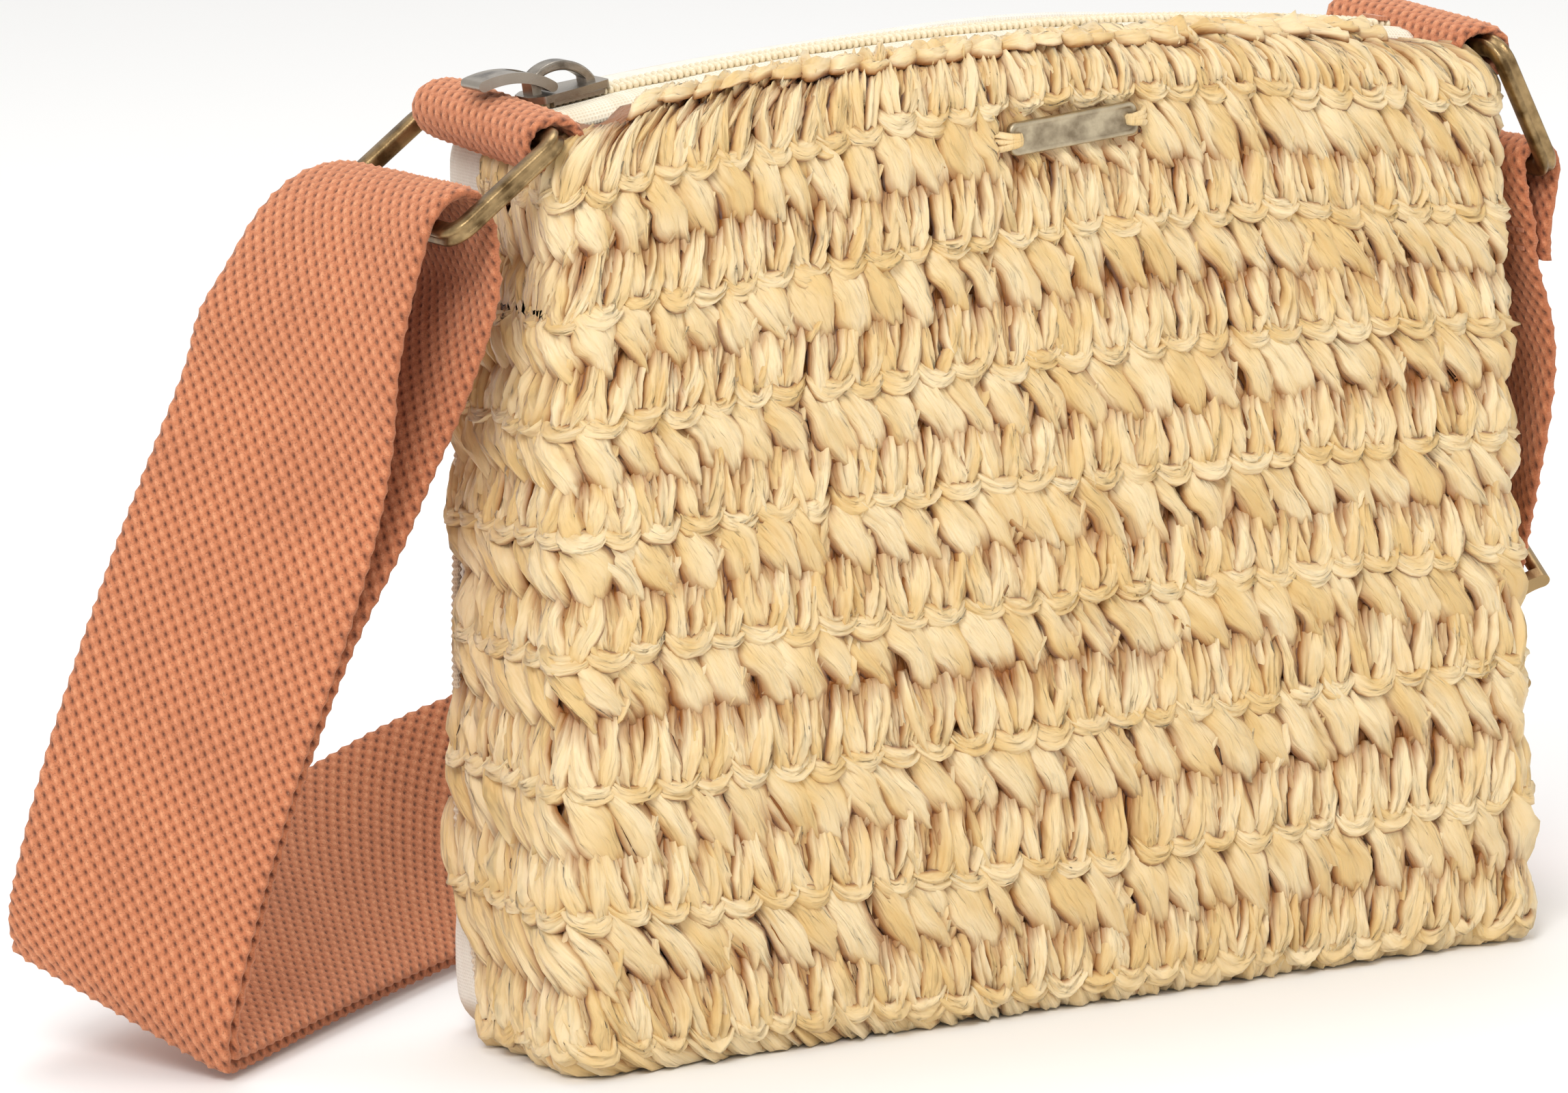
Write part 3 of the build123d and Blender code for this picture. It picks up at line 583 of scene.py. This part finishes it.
def makeLining():
    for name, shell, cut in (("liningFront", {**crochetShell, "sink": 6.8}, 160.0),
                             ("liningBack", {**canvasShell, "sink": 2.8, "corner": 5.0}, 160.0)):
        s, v = np.meshgrid(np.linspace(-1, 1, 90), np.linspace(2, cut, 60), indexing="ij")
        points = onShell(s, v, softWaves(s, v, 5, 0.8), shell)
        faces = gridFaces(*s.shape)
        piece = makeMesh(name, points, faces, looks["lining"],
                         uv=np.stack([s * 120, v], -1),
                         replaced=["lining"] if name == "liningFront" else ())
        thicken(piece, 0.5)
    print("lining hung")


# ---- zip ----
zipSizes = {"end": 91.0, "slotHalf": 11.4, "tapeThick": 0.8, "toothPitch": 1.3, "toothIn": 0.25,
            "toothOut": 3.1,
            "toothRadius": 0.52, "toothLift": 0.75}


def makeTapes():
    size = zipSizes
    for name, side, node in (("zipTapeFront", -1, "zip_tape_front"), ("zipTapeBack", 1, "zip_tape_back")):
        x, w = np.meshgrid(np.linspace(-size["end"], size["end"], 260),
                           np.linspace(0.4, size["slotHalf"], 16),
                           indexing="ij")
        ridge = 0.35 * np.exp(-((w - 4.6) / 0.7) ** 2)
        z = archHeight(x) + 0.1 + ridge + softWaves(x / 22, w, 12, 0.25) - 0.12 * np.clip(w - 6.5, 0,
                                                                                          None) ** 2
        faces = gridFaces(*x.shape)
        faces = faces if side > 0 else faces[:, ::-1]
        tape = makeMesh(name, np.stack([x, w * side, z], -1), faces, looks["tape"],
                        uv=np.stack([x, w], -1), replaced=[node])
        thicken(tape, size["tapeThick"])


def makeTeeth():
    # a rounded bar for each turn of the coil, the two rows half a turn apart
    size = zipSizes
    angle = np.linspace(0, 2 * math.pi, 8, endpoint=False)
    y = np.array([0.0, 0.06, 0.25, 0.75, 0.94, 1.0])
    swell = np.array([0.35, 0.85, 1.0, 1.0, 0.8, 0.3])
    for name, side, node in (("zipCoilFront", -1, "zip_coil_front"), ("zipCoilBack", 1, "zip_coil_back")):
        middles = np.arange(-size["end"] + 1.0, size["end"] - 1.0,
                            size["toothPitch"]) + (side > 0) * size["toothPitch"] / 2
        points, faces = [], []
        one = gridFaces(6, 8, True)
        for index, x in enumerate(middles):
            lean = 0.35 * (y - 0.5)
            rings = np.zeros((6, 8, 3))
            rings[..., 0] = x + lean[:, None] + size["toothRadius"] * swell[:, None] * np.cos(angle)
            rings[..., 1] = side * (size["toothIn"] - 0.5
                                    + (size["toothOut"] - size["toothIn"] + 0.5) * y)[:, None]
            rings[..., 2] = (archHeight(x) + size["toothLift"]
                             + (size["toothRadius"] + 0.35) * swell[:, None] * np.sin(angle))
            points.append(rings.reshape(-1, 3))
            faces += (one + index * 48).tolist()
            faces += [list(range(index * 48 + 7, index * 48 - 1, -1)),
                      list(range(index * 48 + 40, index * 48 + 48))]
        makeMesh(name, np.concatenate(points), faces, looks["coil"], replaced=[node])
    print("zip laid")


# ---- sizes of the rings, which the webbing follows ----
ringSizes = {"tabX": 98.7, "tabZ": 173.3, "reach": 26.0, "inner": 52.0, "wire": 4.1, "corner": 3.4,
             "groove": 0.7, "leftDrop": 36.0, "rightDrop": 66.0}

# ---- webbing: one long strap through both rings and the adjuster, and two tabs ----
weave = {"pitchAcross": 3.03, "pitchAlong": 3.5, "core": 0.86, "bumpHeight": 0.72, "sharp": 1.35}
strapSpan = 24
strapRoute = [
    ((-129, -17, 118), (-150.5, 27, 130), 15.0),
    ((-132, -13.6, 101), (-157.8, 27.1, 114.7), 10.5),
    ((-137.2, -8.8, 81), (-164.6, 29.2, 98.5), 4.0),
    ((-143.6, -2.6, 59), (-171.3, 35.1, 77), 2.8),
    ((-148.6, 2.1, 40), (-177.6, 40, 55), 2.8),
    ((-152.3, 5.6, 24), (-181.5, 44.4, 37), 2.8),
    ((-154.9, 8, 11), (-182.5, 46.5, 29.5), 2.8),
    ((-154.6, 10, 4), (-181.5, 47.6, 24.5), 2.8),
    ((-150.5, 14.5, 1.6), (-177, 52, 22.5), 2.8),
    ((-118, 42, 1.6), (-144, 76, 28), 2.8),
    ((-81, 71, 1.6), (-106, 102, 32), 2.8),
    ((-43, 97, 1.6), (-60.5, 120, 42.3), 2.8),
    ((0, 112, 1.6), (-4, 127, 49), 2.8),
    ((40, 112, 1.6), (45, 123, 50), 2.8),
    ((76, 98, 2), (88, 110.5, 49), 2.8),
    ((103, 72, 5.5), (120, 93, 47.5), 2.8),
    ((116.2, 45, 12), (130.5, 78, 46), 2.8),
    ((117.4, 25, 21), (129.2, 64, 48), 2.8),
]
leftTurn = [
    ((-128.6, -21.5, 133), (-147.6, 26, 141)),
    ((-127.2, -24.6, 145), (-142, 25, 149.5)),
    ((-125.0, -25, 153), (-136.5, 25, 156.8)),
    ((-122.6, -25, 160.2), (-130.5, 25, 162)),
    ((-118.2, -25, 164.6), (-124.5, 25, 164.8)),
    ((-113.6, -25, 164.4), (-117.5, 25, 165.2)),
    ((-110.9, -25, 159.5), (-112.6, 25, 162)),
    ((-110.2, -25, 152), (-111.4, 25, 153)),
    ((-110.8, -23, 143), (-113.6, 25.5, 144)),
]
adjusterRun = {"middle": (118.7, 20.2, 67), "across": (0.17, 0.9, 0.4), "along": (-0.06, -0.47, 0.88),
               "end": 30.0, "barSink": 5.9, "turn": 2.95}
rightTurn = {"side": 1.45, "turn": 3.8, "sewn": 131.0}
halfWebbing = 25


def splinePoints(points, perSpan=strapSpan):
    # a smooth line through every guide point
    p = np.asarray(points, float)
    p = np.concatenate([[2 * p[0] - p[1]], p, [2 * p[-1] - p[-2]]])
    t = np.linspace(0, 1, perSpan, endpoint=False)[:, None]
    out = []
    for a, b, c, d in zip(p[:-3], p[1:-2], p[2:-1], p[3:]):
        square, cube = 2 * a - 5 * b + 4 * c - d, 3 * b - a - 3 * c + d
        out.append(0.5 * (2 * b + (c - a) * t + square * t ** 2 + cube * t ** 3))
    return np.concatenate(out + [p[-2:-1]])


def strapStations():
    # the middle of the webbing, near edge and far edge, from the sewn end at the right ring to the tail
    run = {key: np.array(adjusterRun[key], float) for key in ("middle", "across", "along")}
    across = unit(run["across"])
    along = unit(run["along"] - across * run["along"].dot(across))
    inward = np.cross(along, across)

    def runEdges(distance, sink):
        middle = run["middle"] + along * distance + inward * sink
        return middle - across * halfWebbing, middle + across * halfWebbing

    drop = math.radians(ringSizes["rightDrop"])
    barX = ringSizes["tabX"] + ringSizes["reach"] * math.cos(drop)
    barZ = ringSizes["tabZ"] - ringSizes["reach"] * math.sin(drop)
    close, turn, sewn = rightTurn["side"], rightTurn["turn"], rightTurn["sewn"]
    loop = [(close, sewn), (close + 0.2, sewn + 6), (turn - 0.5, barZ - 4.5)]
    loop += [(turn * math.cos(a), barZ + turn * math.sin(a)) for a in np.radians([0, 45, 90, 135, 180])]
    loop += [(-turn + 0.5, barZ - 4.5), (-close - 0.2, sewn + 6), (-close, sewn)]
    stations = [((barX + x, -halfWebbing, z), (barX + x, halfWebbing, z)) for x, z in loop]
    stations += [((111, -25, 118), (111.5, 25, 118.5)), ((112.2, -22.5, 105.5), (117.3, 26.5, 112.5))]
    stations += [runEdges(adjusterRun["end"], 0.0), runEdges(0.0, 0.0), runEdges(-adjusterRun["end"], 0.0)]
    rightCount = len(stations)
    stations += [(near, far) for near, far, space in reversed(strapRoute)]
    outerEnd = len(stations)
    stations += leftTurn
    innerStart = len(stations)
    middles = np.array([(np.array(near) + far) / 2 for near, far, space in strapRoute]
                       + [sum(runEdges(-adjusterRun["end"], 0.0)) / 2])
    for index, (near, far, space) in enumerate(strapRoute):
        near, far = np.array(near, float), np.array(far, float)
        side = unit(far - near)
        ahead = middles[index + 1] - middles[max(index - 1, 0)]
        ahead = unit(ahead - side * ahead.dot(side))
        shift = np.cross(ahead, side) * space
        stations.append((near + shift, far + shift))
    stations += [runEdges(-adjusterRun["end"], 2.8), runEdges(-10.0, 2.9)]
    sink, turn = adjusterRun["barSink"], adjusterRun["turn"]
    stations += [runEdges(turn * math.sin(a),
                          sink - turn * math.cos(a)) for a in np.radians([0, 45, 90, 135, 180])]
    stations += [runEdges(-4.5, 7.0), runEdges(-9.0, 5.7), runEdges(-20.0, 5.6)]
    marks = {"rightEnd": rightCount, "outerEnd": outerEnd, "innerStart": innerStart}
    return np.array([(np.array(a, float), np.array(b, float)) for a, b in stations]), marks


def weaveHeight(u, w, back=False):
    a = math.pi * u / (weave["pitchAcross"] / 2) + (math.pi if back else 0.0)
    b = math.pi * w / (weave["pitchAlong"] / 2)
    return np.clip(0.5 + 0.5 * np.cos(a) * np.cos(b), 0, 1) ** weave["sharp"]


def webbingSection(middle, side, normal, run, draw, width=50.0):
    # points of both faces and the two edges, row by row along the webbing
    count = int(round(width / (weave["pitchAcross"] / 4)))
    u = np.linspace(-width / 2, width / 2, count + 1)[None, :]
    w = run[:, None]
    edge = np.clip(1 - (np.abs(u) / (width / 2 + 0.25)) ** 14, 0.04, 1) ** 0.5
    fuzz = draw.normal(0, 0.05, (len(run), count + 1))
    faceUp = weaveHeight(u, w)
    faceDown = weaveHeight(u, w, True)
    up = (weave["core"] + weave["bumpHeight"] * faceUp) * edge + fuzz
    down = (weave["core"] + weave["bumpHeight"] * faceDown) * edge + fuzz
    ripple = 0.22 * np.cos(math.pi * w / (weave["pitchAlong"] / 2)) * (np.abs(u) > width / 2 - 1.2) * np.sign(u)
    flat = middle[:, None] + side[:, None] * (u + ripple)[..., None]
    top = flat + normal[:, None] * up[..., None]
    bottom = (flat - normal[:, None] * down[..., None])[:, ::-1]
    points = np.concatenate([top, bottom], 1)
    # the weave value sets the painted highlight and shade of the webbing, and is lowered at the rolled edges as
    # painted shade
    lift = np.concatenate([faceUp * (0.55 + 0.45 * edge), (faceDown * (0.55 + 0.45 * edge))[:, ::-1]], 1)
    u = np.broadcast_to(u, faceUp.shape)
    uv = np.stack([np.concatenate([u, u[:, ::-1]], 1), np.broadcast_to(w, points.shape[:2])], -1)
    return points, lift, uv


def webbingPiece(name, points, lift, uv, body, replaced):
    rows, columns = points.shape[:2]
    faces = gridFaces(rows, columns, True).tolist()
    half = columns // 2
    for first, flip in ((0, False), ((rows - 1) * columns, True)):
        for c in range(half - 1):
            quad = [first + c, first + c + 1, first + columns - 2 - c, first + columns - 1 - c]
            faces.append(quad if flip else quad[::-1])
    return makeMesh(name, points, faces, looks["webbing"], body=body, uv=uv,
                    values={"weave": lift},
                    replaced=replaced)


def makeStrap():
    stations, marks = strapStations()
    near, far = splinePoints(stations[:, 0]), splinePoints(stations[:, 1])
    middle = (near + far) / 2
    run = np.r_[0, np.cumsum(np.linalg.norm(np.diff(middle, axis=0), axis=1))]
    step = weave["pitchAlong"] / 4
    even = np.arange(0, run[-1], step)
    near = np.stack([np.interp(even, run, near[:, k]) for k in range(3)], -1)
    far = np.stack([np.interp(even, run, far[:, k]) for k in range(3)], -1)
    middle, side = (near + far) / 2, unit(far - near)
    along = np.gradient(middle, axis=0)
    along = unit(along - side * (along * side).sum(-1, keepdims=True))
    normal = np.cross(along, side)
    for _ in range(6):
        normal[1:-1] = unit(normal[:-2] + normal[1:-1] * 2 + normal[2:])
    stationRun = run[np.arange(len(stations)) * strapSpan]
    draw = np.random.default_rng(23)
    points, lift, uv = webbingSection(middle, side, normal, even, draw)
    midOut = stationRun[marks["rightEnd"] + 5]
    midIn = stationRun[marks["innerStart"] + 12]
    cuts = [0, int(midOut / step), int(midIn / step), len(even) - 1]
    rows = [slice(cuts[i], cuts[i + 1] + 1) for i in range(3)]
    right = webbingPiece("strapRight", points[rows[0]], lift[rows[0]], uv[rows[0]], None,
                         ["strap_right_loop", "strap_right_run", "strap_rear_outer"])
    left = webbingPiece("strapLeft", points[rows[1]], lift[rows[1]], uv[rows[1]], None,
                        ["strap_left_outer", "strap_left_loop", "strap_left_inner"])
    tail = webbingPiece("strapTail", points[rows[2]], lift[rows[2]], uv[rows[2]], None,
                        ["strap_rear_inner", "strap_tail_loop"])
    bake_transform(right)
    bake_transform(left)
    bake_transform(tail)
    print("strap woven, length in mm:", round(float(run[-1])))


def makeTabs():
    # a short length of webbing folded round the inner bar of each ring, its ends sewn into the bag
    size = {"radius": 4.25, "tilt": 0.055, "width": 49.0}
    for name, side, node in (("tabWebbingLeft", -1, "tab_left"), ("tabWebbingRight", 1, "tab_right")):
        centre = np.array([side * ringSizes["tabX"], 0, ringSizes["tabZ"]])
        fold = [(-7.4, -4.2), (-6.9, 0.4), (-5.0, 3.3), (-2.4, size["radius"])]
        fold += [(size["radius"] * math.sin(a),
                  size["radius"] * math.cos(a)) for a in np.radians([0, 45, 90, 135, 180])]
        fold += [(-2.6, -4.4), (-4.8, -4.9), (-6.6, -7.2)]
        lines = []
        for y in (-size["width"] / 2, size["width"] / 2):
            lines.append([(centre[0] + side * a, y, centre[2] + b + y * size["tilt"]) for a, b in fold])
        near, far = splinePoints(lines[0]), splinePoints(lines[1])
        middle = (near + far) / 2
        run = np.r_[0, np.cumsum(np.linalg.norm(np.diff(middle, axis=0), axis=1))]
        even = np.arange(0, run[-1], weave["pitchAlong"] / 4)
        near = np.stack([np.interp(even, run, near[:, k]) for k in range(3)], -1)
        far = np.stack([np.interp(even, run, far[:, k]) for k in range(3)], -1)
        middle, across = (near + far) / 2, unit(far - near)
        along = np.gradient(middle, axis=0)
        normal = np.cross(unit(along), across)
        points, lift, uv = webbingSection(middle, across, unit(normal), even, np.random.default_rng(5),
                                          size["width"])
        webbingPiece(name, points, lift, uv, "bag", [node])
    print("tabs folded")


# ---- rings ----
def ringSection():
    # bar section: rounded, with a shallow groove along the outward rim
    half = ringSizes["wire"] / 2
    outline = []
    for angle in np.linspace(0, 2 * math.pi, 32, endpoint=False):
        c, s = math.cos(angle), math.sin(angle)
        a = half * 0.98 * math.copysign(abs(c) ** 0.62, c)
        b = half * 0.88 * math.copysign(abs(s) ** 0.62, s)
        groove = ringSizes["groove"] * math.exp(-(b / 0.55) ** 2) * (c > 0.5)
        outline.append((a - groove, b))
    return np.array(outline)


def makeRing(name, side, drop, node, body):
    size = ringSizes
    outward = np.array([side * math.cos(math.radians(drop)), 0, -math.sin(math.radians(drop))])
    level = np.array([0.0, 1.0, 0.0])
    centre = np.array([side * size["tabX"], 0, size["tabZ"]]) + outward * size["reach"] / 2
    flatNormal = np.cross(outward, level)
    halfOut, halfY, corner = size["reach"] / 2, (size["inner"] + size["wire"]) / 2, size["corner"]
    line, facing = [], []
    for cx, cy, start in ((1, 1, 0), (-1, 1, 90), (-1, -1, 180), (1, -1, 270)):
        for angle in np.radians(start + np.linspace(0, 90, 9)):
            line.append((cx * (halfOut - corner) + corner * math.cos(angle),
                         cy * (halfY - corner) + corner * math.sin(angle)))
            facing.append((math.cos(angle), math.sin(angle)))
        if cx * cy > 0:
            across = np.linspace(0, 1, 16)[1:-1]
            line += [((halfOut - corner) * cx * (1 - 2 * q), halfY * cy) for q in across]
            facing += [(0, cy)] * len(across)
        else:
            across = np.linspace(0, 1, 26)[1:-1]
            line += [(halfOut * cx, (halfY - corner) * cy * (1 - 2 * q)) for q in across]
            facing += [(cx, 0)] * len(across)
    line, facing = np.array(line), np.array(facing)
    section = ringSection()
    middle = centre + line[:, :1] * outward + line[:, 1:] * level
    sideways = facing[:, :1] * outward + facing[:, 1:] * level
    points = (middle[:, None] + sideways[:, None] * section[None, :, :1]
              + flatNormal * section[None, :, 1:])
    rows, columns = points.shape[:2]
    faces = gridFaces(rows + 1, columns, True) % (rows * columns)
    makeMesh(name, points, faces, looks["brass"], body=body, replaced=[node])


# ---- name plate, left blank, and its raffia lashings ----
plate = {"length": 27.0, "height": 6.2, "thick": 1.3, "x": 4.9, "z": 166.5, "tilt": 4.3, "stand": 3.1}


def plateAxes():
    tilt = math.radians(plate["tilt"])
    return np.array([math.cos(tilt), 0, math.sin(tilt)]), np.array([-math.sin(tilt), 0, math.cos(tilt)])


def makePlate():
    along, up = plateAxes()
    out = np.array([0.0, -1.0, 0.0])
    centre = np.array([plate["x"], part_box("name_plate")[1][1] / mm,
                       plate["z"]]) + out * (plate["stand"] - plate["thick"])
    # rings of points from the back edge over the rounded rim to the sunk face
    layers = [(0.0, 0.0), (0.0, 0.75), (-0.12, 1.1), (-0.4, 1.3), (-0.75, 1.3), (-1.0, 1.05), (-1.25, 1.02)]
    points = []
    for inset, height in layers:
        halfLength, halfHeight = plate["length"] / 2 + inset, plate["height"] / 2 + inset
        radius = 1.5 + inset * 0.6
        ringPoints = []
        for cx, cy, start in ((1, 1, 0), (-1, 1, 90), (-1, -1, 180), (1, -1, 270)):
            for angle in np.radians(start + np.linspace(0, 90, 7)):
                a = cx * (halfLength - radius) + radius * math.cos(angle)
                b = cy * (halfHeight - radius) + radius * math.sin(angle)
                ringPoints.append(centre + along * a + up * b + out * height)
        points.append(ringPoints)
    points = np.array(points)
    faces = gridFaces(len(layers), 28, True).tolist()
    faces += [list(range(27, -1, -1)), list(range((len(layers) - 1) * 28, len(layers) * 28))]
    makeMesh("plateBlank", points, faces, looks["plateBrass"], replaced=["name_plate"])
    draw = np.random.default_rng(77)
    for name, side, node in (("plateLashingLeft", -1, "plate_thread_left"),
                             ("plateLashingRight", 1, "plate_thread_right")):
        end = centre + along * side * (plate["length"] / 2 - 2.4)
        groups, faces = [], []
        for strand in range(3):
            spread = (strand - 1) * 0.8
            line = splinePoints([end + up * spread * 0.4 + out * 0.2,
                                 end + up * spread * 0.6 + out * 2.1 + along * side * 0.6,
                                 end + up * spread + out * 2.2 + along * side * 2.6,
                                 end + up * spread * 1.6 + out * 0.4 + along * side * 4.3,
                                 end + up * spread * 1.9 - out * 2.4 + along * side * 5.2], 6)
            direction = unit(np.gradient(line, axis=0))
            sideways = unit(np.cross(direction, out + 0.001))
            lift = np.cross(sideways, direction)
            angle = np.linspace(0, 2 * math.pi, 10, endpoint=False)
            wobble = 1 + 0.2 * np.sin(angle * 3 + draw.uniform(0, 6))
            ringPoints = (line[:, None] + sideways[:, None] * (0.62 * np.cos(angle) * wobble)[None, :, None]
                          + lift[:, None] * (0.38 * np.sin(angle) * wobble)[None, :, None])
            offset = sum(len(g) for g in groups)
            groups.append(ringPoints.reshape(-1, 3))
            faces += (gridFaces(len(line), 10, True) + offset).tolist()
            faces += [[offset + k for k in range(9, -1, -1)],
                      [offset + len(line) * 10 - 10 + k for k in range(10)]]
        points = np.concatenate(groups)
        uv = np.stack([points[:, 0], points[:, 2]], -1)
        makeMesh(name, points, faces, looks["raffia"], uv=uv,
                 values={"depth": np.full(len(points), 0.85)},
                 replaced=[node])
    print("plate lashed on")


def finishCadNodes():
    # hardware keeps its made shape and gets its finish
    finishes = {"zip_slider_body": "nickel", "zip_slider_crown": "nickel", "zip_pull": "nickel",
                "adjuster_frame": "brass", "adjuster_middle_bar": "brass", "strap_right_stitch": "thread",
                "zip_end_tack_right": "thread"}
    for node, look in finishes.items():
        mesh = nodes[node].data
        mesh.materials.clear()
        mesh.materials.append(looks[look])
        if not mesh.uv_layers:
            mesh.uv_layers.new(name="cloth")


makeCrochet()
makeCanvas()
makeWelt()
makeLining()
makeTapes()
makeTeeth()
makeStrap()
makeTabs()
makeRing("ringBarLeft", -1, ringSizes["leftDrop"], "ring_left", "ring_left")
makeRing("ringBarRight", 1, ringSizes["rightDrop"], "ring_right", "ring_right")
makePlate()
finishCadNodes()

# ---- floor, light and camera ----
studio = {"floorHalf": 3.0, "world": 0.84, "keyPower": 22.0, "fillPower": 3.5, "topPower": 9.0}


def makeStudio():
    floorMaterial, shader = startMaterial("floorPale", 0.85)
    shader.inputs["Base Color"].default_value = (0.92, 0.92, 0.915, 1.0)
    half = studio["floorHalf"]
    mesh = bpy.data.meshes.new("floor")
    mesh.from_pydata([(-half, -half, 0), (half, -half, 0), (half, half, 0), (-half, half, 0)], [],
                     [(0, 1, 2, 3)])
    mesh.materials.append(floorMaterial)
    floor = bpy.data.objects.new("floor", mesh)
    bpy.context.scene.collection.objects.link(floor)
    world = bpy.context.scene.world or bpy.data.worlds.new("studio")
    bpy.context.scene.world = world
    world.use_nodes = True
    background = world.node_tree.nodes["Background"]
    background.inputs["Color"].default_value = (1.0, 0.99, 0.975, 1.0)
    background.inputs["Strength"].default_value = studio["world"]
    lights = (("keyLight", (-1.1, -1.3, 1.35), 0.7, studio["keyPower"]),
              ("fillLight", (1.3, -1.2, 0.7), 1.2, studio["fillPower"]),
              ("topLight", (0.1, 0.6, 1.7), 1.0, studio["topPower"]))
    for name, place, size, power in lights:
        lamp = bpy.data.lights.new(name, "AREA")
        lamp.energy = power
        lamp.size = size
        light = bpy.data.objects.new(name, lamp)
        light.location = place
        light.rotation_euler = (Vector((0, 0, 0.09)) - Vector(place)).to_track_quat("-Z", "Y").to_euler()
        bpy.context.scene.collection.objects.link(light)
    bpy.context.scene.view_settings.view_transform = "Standard"


view = {"lens": 203.3, "azimuth": -26.66, "elevation": 9.99, "roll": -2.08, "distance": 1.652,
        "target": (-0.0423, 0.0, 0.0892)}


def makeCamera():
    az, el, roll = (math.radians(view[k]) for k in ("azimuth", "elevation", "roll"))
    back = Vector((math.sin(az) * math.cos(el), -math.cos(az) * math.cos(el), math.sin(el)))
    right = (-back).cross(Vector((0, 0, 1))).normalized()
    up = right.cross(-back)
    across = right * math.cos(roll) + up * math.sin(roll)
    upward = up * math.cos(roll) - right * math.sin(roll)
    data = bpy.data.cameras.new("camera")
    data.lens = view["lens"]
    data.sensor_width = 36.0
    camera = bpy.data.objects.new("camera", data)
    place = Vector(view["target"]) + back * view["distance"]
    camera.matrix_world = Matrix((across, upward, back)).transposed().to_4x4()
    camera.location = place
    bpy.context.scene.collection.objects.link(camera)
    bpy.context.scene.camera = camera


makeStudio()
makeCamera()
print("studio ready")
